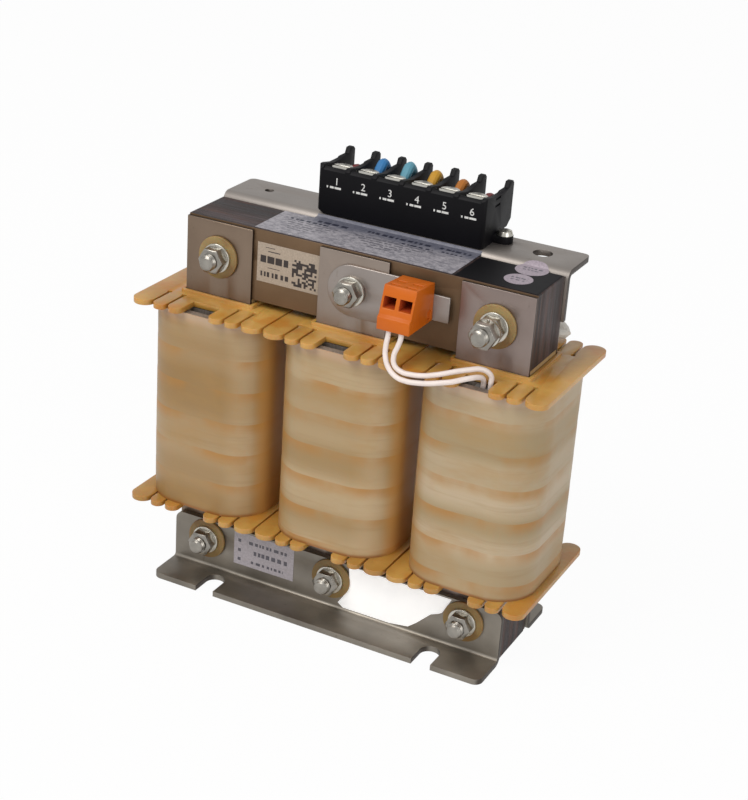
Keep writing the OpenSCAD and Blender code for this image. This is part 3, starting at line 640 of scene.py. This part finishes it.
def outline(half_x, half_y, radius, count):
    """Points and outward directions around a rounded rectangle, evenly spaced."""
    straight_x, straight_y = 2 * (half_x - radius), 2 * (half_y - radius)
    quarter = math.pi * radius / 2
    spans = [straight_x, quarter, straight_y, quarter] * 2
    total = sum(spans)
    corners = [(half_x - radius, half_y - radius), (half_x - radius, radius - half_y),
               (radius - half_x, radius - half_y), (radius - half_x, half_y - radius)]
    points = []
    for i in range(count):
        along = total * i / count
        span = 0
        while along > spans[span]:
            along -= spans[span]
            span += 1
        side, bend = divmod(span, 2)
        turn = math.pi / 2 * (side + (along / quarter if bend else 0))
        normal = Vector((math.sin(turn), math.cos(turn)))
        cx, cy = corners[side]
        place = Vector((cx, cy)) + normal * radius
        if not bend:
            place -= Vector((math.cos(turn), -math.sin(turn))) * (spans[span] - along)
        points.append((place, normal))
    return points


start, normal = outline(20, 20, 5, 4)[0]
print("an outline starts at", tuple(start), "and looks out along", tuple(normal))

# %% [markdown]
# At every lap of tape the rings step in by a few hundredths of a millimetre and ease out again, as at
# a tape's edge. Slow waves around the coil let a lap rise and fall and keep the column from looking
# turned on a lathe. Each coil has its own seed, so no two look the same.

# %% Shape of a coil wrap
LAP = 11.6
LAP_STEP = 0.06
CORNER = 14.6
INSET = 0.22
DEEPEST = 0.7
SEED_SHIFT = 3.1
POINTS_AROUND = 144
ROWS = 120


def wrap_mesh(side, seed):
    """The tape wrap of one coil, as rings with a step at each lap."""
    low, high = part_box("coil_wrap_" + side)
    centre = (low + high) / 2 / MM
    half = (high - low) / 2 / MM
    bottom, top = low.z / MM, high.z / MM
    ring = outline(half.x - INSET, half.y - INSET, CORNER, POINTS_AROUND)
    vertices, faces = [], []
    for row in range(ROWS + 1):
        z = bottom + (top - bottom) * row / ROWS
        for k, (place, normal) in enumerate(ring):
            around = 2 * math.pi * k / len(ring)
            sway = 0.35 * math.sin(around * 2 + seed) + 0.2 * math.sin(around * 3 + seed * 2.3)
            phase = ((z + sway + seed * SEED_SHIFT) / LAP) % 1.0
            swell = 0.05 * math.sin(around * 4 + seed + z * 0.09)
            depth = 0.06 + LAP_STEP * (1 - phase) ** 3 + swell
            spot = place - normal * depth
            vertices.append(Vector((centre.x + spot.x, centre.y + spot.y, z)) * MM)
    count = len(ring)
    for row in range(ROWS):
        for k in range(count):
            a, b = row * count + k, row * count + (k + 1) % count
            faces.append((a, a + count, b + count, b))
    inner = outline(half.x - DEEPEST, half.y - DEEPEST, CORNER - 0.5, count)
    for z, base in ((bottom, 0), (top, ROWS * count)):
        start = len(vertices)
        for place, normal in inner:
            vertices.append(Vector((centre.x + place.x, centre.y + place.y, z)) * MM)
        for k in range(count):
            n = (k + 1) % count
            quad = (base + k, base + n, start + n, start + k)
            faces.append(quad if z == bottom else tuple(reversed(quad)))
    return mesh_from("coil_tape_" + side, vertices, faces)


coil_low, coil_high = reach("coil_wrap_left")
print("laps a coil:", round((coil_high[2] - coil_low[2]) / LAP, 1))

# %% [markdown]
# The tape's colour is built up as a painter would, from thin layers over a base: pale and amber bands
# that follow the laps, strands of glass, brown clouds, resin gathered at each lap, a pale upper edge
# and a dark lower one, which is painted shade where the coil meets its lower flange. Where two coils
# face each other, light goes to and fro between them, so those sides are painted warmer: painted
# reflected light on a coil's right side and painted shade on its left. The corner left of such a gap
# gets a painted highlight.

# %% Finish of a coil wrap
COIL_PITCH = 50.0
LEFT, RIGHT = -1, 1


def resin_tape(side, centre_x, seed, gaps, amber_tape, pale_tape):
    """Resin-soaked tape: level bands, pale and amber, with painted light and shade where coils face
    each other.
    """
    finish = Finish("resin_tape_" + side)
    waver = finish.noise(20, 2, (1, 1, 0.4), 0.5, seed)
    level = (finish.z + (waver - 0.5) * 3.0 + seed * SEED_SHIFT) / LAP
    lap = level.fraction()
    patchy = finish.noise(46, 3, (1, 1, 0.6), 0.6, seed * 4).ramp(0.35, 0.65)
    gather = lap.ramp(0.52, 0.95) * lap.ramp(1.0, 0.975) * patchy
    bands = finish.node("ShaderNodeTexNoise", {"noise_dimensions": "1D"},
                        {"W": level * 0.55 + seed, "Scale": 1.0, "Detail": 1.0}, "Fac")
    cloud = finish.noise(34, 4, (1, 1, 2.6), 0.6, seed * 2)
    threads = finish.noise(700, 3, (0.08, 0.08, 1.0), 0.6)
    strands = finish.noise(330, 4, (0.05, 0.05, 1.0), 0.7, seed * 3)
    body = finish.mix(bands.ramp(0.36, 0.64), rgb(*amber_tape), rgb(*pale_tape))
    across = finish.x - centre_x
    # Painted highlight on the corner left of a gap.
    if RIGHT in gaps:
        corner_highlight = across.ramp(9.0, 17.0) * across.ramp(22.0, 18.5)
        body = finish.mix(corner_highlight * 0.42, body, rgb(194, 170, 134))
    body = finish.mix(strands.ramp(0.5, 0.75) * 0.35, body, rgb(146, 116, 74))
    body = finish.mix(cloud.ramp(0.45, 0.7) * 0.4, body, rgb(166, 128, 72))
    body = finish.mix(gather * 0.75, body, rgb(168, 117, 48))
    body = finish.mix(finish.z.ramp(96.5, 100.0) * 0.6, body, rgb(192, 166, 144))
    # Painted shade at the foot of the coil, above the lower flange.
    body = finish.mix(finish.z.ramp(31.0, 29.8) * 0.8, body, rgb(138, 84, 26))
    # Painted reflected light on a side that faces a gap on the right, painted shade on one on the
    # left.
    if RIGHT in gaps:
        body = finish.mix(across.ramp(19.0, 22.4) * 0.8, body, rgb(214, 160, 90))
    if LEFT in gaps:
        body = finish.mix(across.ramp(-14.0, -21.0) * 0.7, body, rgb(158, 118, 66))
    return finish.set(
        Base_Color=body,
        Roughness=0.34 + cloud * 0.14,
        Normal=finish.bump(threads, 0.10, 0.05 * MM),
        Subsurface_Weight=0.12,
        Subsurface_Scale=2.0 * MM)


# Which sides of each coil look into a gap between two coils
GAP_SIDES = {"left": (RIGHT,), "middle": (LEFT, RIGHT), "right": (LEFT,)}
TAPES = {
    "left": ((146, 115, 70), (166, 140, 103)),
    "middle": ((154, 127, 85), (177, 154, 119)),
    "right": ((160, 139, 103), (187, 168, 140)),
}
for number, side in enumerate(SIDES):
    seed = 1.7 + number * 2.9
    tape = resin_tape(side, COIL_PITCH * (number - 1), seed, GAP_SIDES[side], *TAPES[side])
    mesh = wrap_mesh(side, seed)
    add_piece("coil_tape_" + side, mesh, tape, replaces=["coil_wrap_" + side], smooth_angle=50)
print("coils wrapped:", len(SIDES))

# %% [markdown]
# Under the tape lie the windings, of which only the top shows through the open combs. It is grey
# foil and paper, so it has fine rings that follow the coil. The strips that hold the cooling duct
# open are brown pressboard, and so are the spacers in the core's gap.

# %% Windings, strips and small inner parts


def layered(name, light, dark, metallic, roughness, scale=1400):
    """A finish of fine layers."""
    finish = Finish(name)
    layers = finish.noise(scale, 3, (1, 1, 0.1), 0.6)
    return finish.set(Base_Color=finish.mix(layers, dark, light), Metallic=metallic,
                      Roughness=roughness + layers * 0.15,
                      Normal=finish.bump(layers, 0.2, 0.08 * MM))


foil = layered("foil_winding", rgb(176, 168, 160), rgb(96, 84, 76), 0.6, 0.4)
pressboard = layered("pressboard", rgb(186, 156, 108), rgb(140, 108, 66), 0.0, 0.7, 500)
sleeve_paper = layered("sleeve_paper", rgb(226, 220, 200), rgb(200, 190, 164), 0.0, 0.6, 500)
switch_case = layered("switch_case", rgb(150, 154, 156), rgb(96, 100, 104), 0.3, 0.4, 600)


def dress(node, finish):
    """Gives a CAD node, whose shape is right, a better material."""
    mesh_object = frame["nodes"][node]
    mesh_object.data.materials.clear()
    mesh_object.data.materials.append(finish)
    mesh_object.data.shade_smooth()
    mesh_object.data.set_sharp_from_angle(angle=math.radians(35))


for side in SIDES:
    dress("inner_winding_" + side, foil)
    dress("outer_winding_" + side, foil)
    dress("duct_spacers_" + side, pressboard)
    dress("gap_spacer_" + side, pressboard)
dress("bolt_sleeves", sleeve_paper)
dress("thermal_switch", switch_case)
print("inner parts dressed:", 4 * len(SIDES) + 2)

# %% [markdown]
# The terminal block is black moulded plastic with a soft gloss. Each pole has a clamp plate and a
# slotted screw. The winding leads are sleeved in dark red, blue, yellow and orange.

# %% Terminal block


def moulded(name, light, dark, roughness, grain=0.12, gloss=0.5):
    """Moulded plastic: an even colour with the mould's fine grain."""
    finish = Finish(name)
    cloud = finish.noise(120, 3)
    grit = finish.noise(3200, 2)
    return finish.set(Base_Color=finish.mix(cloud, dark, light), Roughness=roughness + cloud * 0.08,
                      Normal=finish.bump(grit, grain, 0.03 * MM), Specular_IOR_Level=gloss)


black_plastic = moulded("black_plastic", rgb(13, 12, 16), rgb(8, 8, 11), 0.46, gloss=0.14)
soften("block_housing", 0.25 * MM, black_plastic)
plated = sheet_steel("plated_clamps", rgb(168, 162, 158), rgb(128, 121, 116), 0.30)
soften("block_clamps", 0.15 * MM, plated)
soften("block_screws", 0.15 * MM, zinc)
SLEEVES = {
    "lead_1": (110, 26, 28), "lead_2": (46, 116, 172), "lead_3": (88, 148, 168),
    "lead_4": (190, 140, 34), "lead_5": (172, 104, 30), "lead_6": (110, 26, 28),
}
SLEEVE_END = 127.0


def lead_sleeve(name, tone):
    """A coloured sleeve near the terminal block, and the lead's own pale glass braid below it."""
    finish = Finish(name)
    braid = finish.noise(1600, 2, (1, 1, 0.5))
    pale = finish.mix(braid, rgb(206, 202, 194), rgb(234, 230, 222))
    colour = finish.mix(finish.z.below(SLEEVE_END), rgb(*tone), pale)
    return finish.set(Base_Color=colour, Roughness=0.42 + braid * 0.1,
                      Normal=finish.bump(braid, 0.15, 0.05 * MM))


for name, tone in SLEEVES.items():
    dress(name, lead_sleeve(name + "_sleeve", tone))
print("lead sleeves:", len(SLEEVES))

# %% [markdown]
# The sensor terminal is the one bright spot: an orange housing with two square entries, painted dark
# red-brown inside as painted shade, slots for a screwdriver on its roof and a clamp plate inside each
# entry, painted dark red as painted shade.

# %% Sensor terminal
ENTRY_X = (20.65, 26.15)
ENTRY_Z = 123.55
ENTRY_HALF = (2.1, 1.8)


def orange_housing():
    """Orange plastic with painted shade, dark red-brown, inside the two entries."""
    finish = Finish("orange_plastic")
    cloud = finish.noise(120, 3)
    grit = finish.noise(3200, 2)
    colour = finish.mix(cloud, rgb(190, 88, 4), rgb(202, 102, 8))
    level = (finish.z - ENTRY_Z).distance().below(ENTRY_HALF[1])
    for x in ENTRY_X:
        upright = (finish.x - x).distance().below(ENTRY_HALF[0])
        # Painted shade inside an entry.
        inside = upright * level * finish.y.ramp(-28.5, -26.0)
        colour = finish.mix(inside * 0.8, colour, rgb(150, 50, 30))
    return finish.set(Base_Color=colour, Roughness=0.36 + cloud * 0.08,
                      Normal=finish.bump(grit, 0.12, 0.03 * MM), Specular_IOR_Level=0.32)


orange_plastic = orange_housing()
# The clamp plates are painted dark red: painted shade inside the entries.
clamp_lacquer = moulded("clamp_lacquer", rgb(150, 52, 22), rgb(110, 30, 14), 0.4)
soften("sensor_housing", 0.22 * MM, orange_plastic)
dress("sensor_clamps", clamp_lacquer)
print("wire entries:", len(ENTRY_X))

# %% [markdown]
# Labels, stickers and printed marks are flat things that lie on a surface. Each could be an image on
# the face below, but then its edge and its thickness would be missing. Here each is a thin plate of
# its own. A line of print is dozens of small bars, so plates that belong together share one mesh.

# %% Thin plates
PLATE = 0.12
PRINT = 0.03


def rectangle(x0, x1, v0, v1):
    """The four corners of a rectangle."""
    return [(x0, v0), (x1, v0), (x1, v1), (x0, v1)]


def plates_mesh(name, outlines, level, lying, thickness):
    """Thin plates in one mesh: lying on a top face at height level, or upright at depth level."""
    vertices, faces = [], []
    for points in outlines:
        first, count = len(vertices), len(points)
        for offset in (0.0, thickness):
            for u, v in points:
                place = (u, v, level + offset) if lying else (u, level - offset, v)
                vertices.append(Vector(place) * MM)
        below = range(first, first + count)
        above = range(first + count, first + 2 * count)
        faces += [tuple(reversed(below)), tuple(above)]
        faces += [(below[k - 1], below[k], above[k], above[k - 1]) for k in range(count)]
    return mesh_from(name, vertices, faces)


def add_plate(name, points, level, lying, finish):
    """One thin plate with the outline that the points give."""
    add_piece(name, plates_mesh(name, [points], level, lying, PLATE), finish)


def add_bars(name, rows, level, lying, finish):
    """Printed bars on the face at that level; each row is x0, x1, v0, v1."""
    outlines = [rectangle(*row) for row in rows]
    add_piece(name, plates_mesh(name, outlines, level, lying, PRINT), finish)


print("labels are", PLATE, "mm thick and their print", PRINT, "mm")

# %% [markdown]
# Label stock is smooth paper or foil. A faint speckle keeps a large flat label from looking like a
# hole in the picture. Ink is made in the same way. The white patch on the foot bracket is a painted
# highlight: it stands for a bright reflection on the bracket, and glows a little, so that it stays
# white in the bracket's shadow.

# %% Paper and ink


def paper(name, tone, roughness=0.4, glow=0.0, gloss=0.5, contrast=0.05):
    """Label stock or ink, speckled a little lighter and darker than its tone."""
    finish = Finish(name)
    cloud = finish.noise(90, 3)
    speckle = finish.noise(1500, 4, roughness=0.7).ramp(0.35, 0.65)
    light = tuple(min(255, (1 + contrast) * level) for level in tone)
    dark = tuple((1 - contrast) * level for level in tone)
    return finish.set(
        Base_Color=finish.mix(speckle, rgb(*dark), rgb(*light)),
        Roughness=roughness + cloud * 0.1,
        Specular_IOR_Level=gloss,
        Emission_Color=rgb(*tone),
        Emission_Strength=glow)


beige_paper = paper("beige_label", (164, 149, 133))
round_paper = paper("round_label", (158, 146, 156), contrast=0.08)
grey_foil = paper("grey_label", (172, 166, 172))
black_gloss = paper("black_label", (10, 9, 12), 0.45, gloss=0.12)
# A painted highlight: white stock that glows, where the bracket shows a bright reflection.
highlight_white = paper("painted_highlight", (250, 250, 250), 0.6, glow=0.35)
ink = paper("printed_ink", (46, 38, 36), 0.5)
blue_ink = paper("blue_ink", (40, 42, 58), 0.5)
faint_ink = paper("faint_ink", (92, 90, 98))
mark_white = paper("printed_white", (214, 214, 212), 0.5)
print("finishes so far:", len(bpy.data.materials))

# %% [markdown]
# The print here is generic. Bars of random lengths look like lines of print from afar and spell
# nothing, and a field of random cells encodes nothing. The seed is fixed, so the bars come out the
# same each time. The beige label sits on the yoke's front face.

# %% Label on the yoke's front
YOKE_FRONT, YOKE_TOP = YOKE_LOW[1], YOKE_HIGH[2]
YOKE_LABEL = rectangle(-36, -12.8, 112.8, 126.3)
YOKE_LINES = ((-34.8, -24.4, 119.6, 122.0, 1.6, 3.2), (-34.6, -24.2, 114.8, 116.5, 0.6, 1.3))
YOKE_RULES = [(-32, -27.5, 123.5, 123.8), (-32, -27.5, 117.9, 118.1), (-33, -29.5, 124.8, 125.0)]
FIELD_CELLS = 12
FIELD_CORNER = (-22.9, 113.9)
CELL = 0.76
CELL_FILL = 0.98
INKED_SHARE = 0.52
NARROWEST_GAP, WIDEST_GAP = 0.35, 1.1


def strokes(left, right, v0, v1, shortest, longest):
    """A row of short bars that looks like a line of print seen from afar, and spells nothing."""
    bars = []
    while left < right:
        end = min(right, left + random.uniform(shortest, longest))
        bars.append((left, end, v0, v1))
        left = end + random.uniform(NARROWEST_GAP, WIDEST_GAP)
    return bars


def lines_of(rows):
    """Rows of strokes, one after the other."""
    return [bar for row in rows for bar in strokes(*row)]


def random_cells():
    """Square cells of a field, of which about half are inked."""
    cells = []
    for row in range(FIELD_CELLS):
        for column in range(FIELD_CELLS):
            if random.random() < INKED_SHARE:
                u = FIELD_CORNER[0] + column * CELL
                v = FIELD_CORNER[1] + row * CELL
                cells.append((u, u + CELL * CELL_FILL, v, v + CELL * CELL_FILL))
    return cells


random.seed(7)
add_plate("yoke_label", YOKE_LABEL, YOKE_FRONT, False, beige_paper)
add_bars("yoke_label_print", lines_of(YOKE_LINES) + YOKE_RULES, YOKE_FRONT - PLATE, False, ink)
cells = random_cells()
add_bars("yoke_label_blocks", cells, YOKE_FRONT - PLATE, False, ink)
print("inked cells:", len(cells))

# %% [markdown]
# The large grey label lies on top of the yoke, and its rear edge bends up over the fold of the
# terminal bracket, to the foot of the terminal block. A cloth simulation could drape it, but the
# height at each depth is known: the yoke's top, or the arc of the fold where that is higher. So the
# sheet is built as rows from front to rear, each at its own height.

# %% Paper that bends over the fold
SHEET = 2.0
INSIDE_BEND = 1.2
FOLD_RADIUS = SHEET + INSIDE_BEND
FOLD_Y = reach("terminal_bracket")[0][1] + FOLD_RADIUS
FOLD_Z = reach("terminal_bracket")[1][2] - FOLD_RADIUS


def resting_height(y):
    """Height of what paper rests on: the yoke's top, then the fold of the terminal bracket."""
    short_of_top = max(0.0, FOLD_Y - y)
    fold = FOLD_Z + math.sqrt(max(0.0, FOLD_RADIUS ** 2 - short_of_top ** 2))
    return max(YOKE_TOP, fold)


def draped_mesh(name, rows, lift, thickness):
    """Paper that lies on the yoke and bends up over the fold; each row is y, left x, right x."""
    vertices, faces = [], []
    for y, left, right in rows:
        z = resting_height(y) + lift
        vertices += [Vector(p) * MM for p in (
            (left, y, z), (right, y, z), (right, y, z + thickness), (left, y, z + thickness))]
    for row in range(len(rows) - 1):
        near = [4 * row + k for k in range(4)]
        faces += [(near[k], near[k - 3], near[k - 3] + 4, near[k] + 4) for k in range(4)]
    last = 4 * (len(rows) - 1)
    faces += [(3, 2, 1, 0), (last, last + 1, last + 2, last + 3)]
    return mesh_from(name, vertices, faces)


print("the fold reaches", round(FOLD_Y, 2), "mm behind the core's middle")

# %% [markdown]
# The label itself is worn silver grey in front. Towards the block it is a blue-grey tone in the
# material: painted shadow and reflection of the black block. Only the larger lines of print are bars.
# The label is cut away on the left, in front of the block's end.

# %% Large grey label
LABEL_LIFT = 0.02
LABEL_LEFT, LABEL_RIGHT, CUT_LEFT = -38.0, 33.0, -27.0
FLAT_ROWS = (-9.5, 0.0, 10.2)
BENT_ROWS = (10.3, 11.4, 12.3, 12.5, 12.7, 12.9, 13.1)
BOLD_LINES = (
    (-33, -19, 4.6, 5.9, 0.6, 1.6), (-24, -13, 6.9, 8.6, 1.0, 2.4), (-6, 17, 8.0, 9.6, 0.6, 2.0),
    (20, 31, 8.4, 9.8, 0.6, 2.0), (8, 19, 5.0, 6.0, 0.6, 2.2), (22, 29, 5.8, 6.8, 0.6, 1.6),
)
FINE_TOP = 3.2
FINE_STEP = 1.9


def foil_with_block_shadow():
    """The large grey label: worn silver grey in front, and a painted blue-grey shadow towards the
    block.
    """
    finish = Finish("foil_with_block_shadow")
    worn = finish.noise(900, 5, (0.6, 1, 1), 0.75)
    cloud = finish.noise(110, 3)
    grey = finish.mix(worn.ramp(0.36, 0.64), rgb(118, 116, 124), rgb(172, 168, 174))
    # Painted shadow and reflection of the black block, towards its side.
    block_shadow = (finish.y + (cloud - 0.5) * 6.0).ramp(1.0, 9.5) * finish.x.ramp(-33, -24)
    grey = finish.mix(block_shadow * 0.75, grey, rgb(76, 80, 98))
    return finish.set(Base_Color=grey, Roughness=0.42 + cloud * 0.1, Specular_IOR_Level=0.4)


def fine_lines():
    """Two columns of thin lines that grow shorter towards the front."""
    rows = []
    for line in range(5):
        v = FINE_TOP - line * FINE_STEP
        rows.append((-33 + line, -14 - line * 2, v, v + 0.5, 0.8, 4.0))
        rows.append((-8 + line * 2, 20 - line * 3, v + 0.4, v + 0.9, 0.8, 4.0))
    return lines_of(rows)


label_rows = [(y, LABEL_LEFT, LABEL_RIGHT) for y in FLAT_ROWS]
label_rows += [(y, CUT_LEFT, LABEL_RIGHT) for y in BENT_ROWS]
label_mesh = draped_mesh("top_label", label_rows, LABEL_LIFT, PLATE)
add_piece("top_label", label_mesh, foil_with_block_shadow())
label_top = YOKE_TOP + LABEL_LIFT + PLATE
add_bars("top_label_print", lines_of(BOLD_LINES), label_top, True, blue_ink)
add_bars("top_label_lines", fine_lines(), label_top, True, faint_ink)
print("the label's print lies at height", round(label_top, 2))

# %% [markdown]
# Right of the label lies a glossy black sheet with two round grey stickers. A sticker is the same
# draped paper: its rows are as long as a circle is wide at their depth, so the rear one bends up over
# the fold too.

# %% Black sheet and round stickers
BLACK_SHEET = rectangle(34, 62, -10, 10.2)
STICKER = 0.06
STICKERS = ((52.0, 9.1, 5.4), (51.8, -1.2, 4.6))


def disc_rows(x, y, radius, count=24):
    """A disc as rows from front to rear, with narrow first and last rows in place of points."""
    turns = [math.radians(-86 + 172 * k / count) for k in range(count + 1)]
    rows = []
    for turn in turns:
        half = radius * math.cos(turn)
        rows.append((y + radius * math.sin(turn), x - half, x + half))
    return rows


add_plate("top_black", BLACK_SHEET, YOKE_TOP, True, black_gloss)
for number, (x, y, radius) in enumerate(STICKERS):
    name = "round_sticker_%d" % (number + 1)
    disc = draped_mesh(name, disc_rows(x, y, radius), PLATE, STICKER)
    add_piece(name, disc, round_paper)
    lines = strokes(x - radius * 0.6, x + radius * 0.6, y + 0.5, y + 1.3, 0.5, 1.6)
    lines += strokes(x - radius * 0.5, x + radius * 0.5, y - 1.2, y - 0.6, 0.5, 1.6)
    add_bars(name + "_lines", lines, YOKE_TOP + PLATE + STICKER, True, faint_ink)
print("round stickers:", len(STICKERS))

# %% [markdown]
# The lower front bracket carries a grey foil label with three lines of print, and a painted highlight:
# a white patch with a rounded lower edge, for a bright reflection on the bracket. The patch's outline
# has only the few points that its shape needs.

# %% What the foot bracket carries
FOOT_FACE = reach("foot_bracket_front")[1][1] - SHEET
FOOT_LABEL = rectangle(-39, -15, 6.6, 19.4)
FOOT_LINES = (
    (-33, -17, 15.6, 16.8, 0.6, 2.0),
    (-32, -19, 8.2, 9.2, 0.6, 1.8),
    (-31, -17, 11.8, 13.4, 1.0, 1.8),
)
FOOT_MARKS = [(-37.4, -36.2, v, v + 1.2) for v in (8.2, 11.8, 15.6)]
HIGHLIGHT_OUTLINE = [
    (6.5, 19.7), (7, 13.4), (5, 7.4), (3, 4.4), (5, 2.9), (23, 2.9), (30, 3.9), (33, 6.4),
    (36, 9.4), (38, 11.4), (41, 12.7), (42, 13.4), (45, 19.4),
]
add_plate("foot_label", FOOT_LABEL, FOOT_FACE, False, grey_foil)
foot_print = lines_of(FOOT_LINES) + FOOT_MARKS
add_bars("foot_label_print", foot_print, FOOT_FACE - PLATE, False, faint_ink)
# Painted highlight: the bright reflection on the bracket, as a glowing white patch.
add_plate("painted_highlight", HIGHLIGHT_OUTLINE, FOOT_FACE, False, highlight_white)
print("bars on the foot label:", len(foot_print))

# %% [markdown]
# Each pole of the block is marked with three dashes and its number. A number is a Text object, which
# is the only easy way to get the shapes of digits. It is turned upright and becomes a plain mesh, so
# that it rides as every other piece does. A font's size counts the room for tall and deep letters, so
# it is larger than the digit itself.

# %% Marks beside the poles
POLES = 6
POLE_PITCH = 9.8
POLES_MIDDLE = 2.5
BLOCK_FRONT = reach("block_housing")[0][1]
DASHES = ((-2.4, -1.9), (-1.2, 0.2), (0.5, 2.9))
DASH_LOW, DASH_HIGH = 141.0, 141.7
NUMBER_SHIFT = 0.4
NUMBER_FOOT = 142.4
DIGIT_HEIGHT = 2.5
FONT_SIZE = 1.4 * DIGIT_HEIGHT


def add_number(name, text, x, z):
    """A printed number, flat on the terminal block's front."""
    curve = bpy.data.curves.new(name + "_text", "FONT")
    curve.body = text
    curve.size = FONT_SIZE * MM
    curve.extrude = 0.02 * MM
    shape = bpy.data.objects.new(name + "_text", curve)
    mesh = bpy.data.meshes.new_from_object(shape)
    bpy.data.objects.remove(shape)
    upright = Matrix.Rotation(math.pi / 2, 4, "X")
    mesh.transform(Matrix.Translation(Vector((x, BLOCK_FRONT - PRINT, z)) * MM) @ upright)
    add_piece(name, mesh, mark_white)


for pole in range(POLES):
    x = POLES_MIDDLE + (pole - (POLES - 1) / 2) * POLE_PITCH
    dashes = [(x + left, x + right, DASH_LOW, DASH_HIGH) for left, right in DASHES]
    add_bars("pole_dashes_%d" % (pole + 1), dashes, BLOCK_FRONT, False, mark_white)
    add_number("pole_number_%d" % (pole + 1), str(pole + 1), x + NUMBER_SHIFT, NUMBER_FOOT)
print("poles marked:", POLES)

# %% [markdown]
# The reactor stands on a plain white floor in front of white. More light could turn a grey floor
# white, but it would bleach the object too. So floor and world look at who is asking: a Light Path
# node tells whether a ray comes from the camera or from a reflection, and those rays see white. All
# others see a dim world, which lights the object evenly.

# %% White for the camera alone


def white_to_camera(tree, dim, bright):
    """A factor that is bright where the camera, a reflection or a see-through ray looks."""
    camera_ray, see_through, glossy = (
        tree.node("ShaderNodeLightPath", output="Is %s Ray" % kind)
        for kind in ("Camera", "Transmission", "Glossy"))
    seen = camera_ray + see_through + glossy * 0.5
    return tree.node("ShaderNodeMapRange", {}, {"Value": seen, "To Min": dim, "To Max": bright})


def set_world(ambient):
    """Even light from all round, which the camera sees as white."""
    world = bpy.data.worlds.new("studio")
    tree = Tree(world)
    bpy.context.scene.world = world
    background = tree.nodes["Background"]
    tree.connect((1, 1, 1, 1), background.inputs["Color"])
    tree.connect(white_to_camera(tree, ambient, 1.0), background.inputs["Strength"])


set_world(0.42)
print("world:", bpy.context.scene.world.name)

# %% [markdown]
# The floor mixes a little of its own matt white with that glow, so it keeps a faint shadow. It lies
# just below the feet, because two faces in one place would flicker.

# %% Floor
FLOOR_HALF = 6.0
FLOOR_DROP = 0.2 * MM


def floor_finish():
    """Matt white that the camera sees as nearly pure white, apart from a faint shadow."""
    finish = Finish("studio_floor")
    finish.set(Base_Color=(0.82, 0.82, 0.82, 1), Roughness=0.9)
    glow = finish.node("ShaderNodeEmission")
    blend = finish.node("ShaderNodeMixShader", {}, {
        0: white_to_camera(finish, 0.0, 0.96), 1: Signal(finish, finish.surface.outputs[0]), 2: glow})
    finish.connect(blend, finish.nodes["Material Output"].inputs["Surface"])
    return finish.material


def add_floor():
    """A large white floor that keeps a soft shadow."""
    square = rectangle(-FLOOR_HALF, FLOOR_HALF, -FLOOR_HALF, FLOOR_HALF)
    mesh = mesh_from("floor", [(x, y, 0) for x, y in square], [(0, 1, 2, 3)])
    mesh.materials.append(floor_finish())
    floor = bpy.data.objects.new("floor", mesh)
    bpy.context.collection.objects.link(floor)
    floor.location.z = -FLOOR_DROP


add_floor()
print("floor:", 2 * FLOOR_HALF, "m square")

# %% [markdown]
# One large lamp above and in front gives the shape, and a weaker one on the right opens the shadows.
# A large lamp makes soft shadows and long soft highlights on metal. The Standard view shows a colour
# about as it was written.

# %% Lamps


def add_lamp(name, place, size, power, colour):
    """A square area lamp that faces the reactor."""
    data = bpy.data.lights.new(name, "AREA")
    data.size = size
    data.energy = power
    data.color = colour
    lamp = bpy.data.objects.new(name, data)
    lamp.location = place
    lamp.rotation_euler = (TARGET - Vector(place)).to_track_quat("-Z", "Y").to_euler()
    bpy.context.collection.objects.link(lamp)


add_lamp("key", (-0.5, -0.9, 1.3), 0.9, 16.0, (1.0, 0.98, 0.95))
add_lamp("fill", (1.1, -0.7, 0.5), 0.8, 5.0, (1.0, 0.99, 0.97))
bpy.context.scene.view_settings.view_transform = "Standard"
print("lamps:", len(bpy.data.lights))
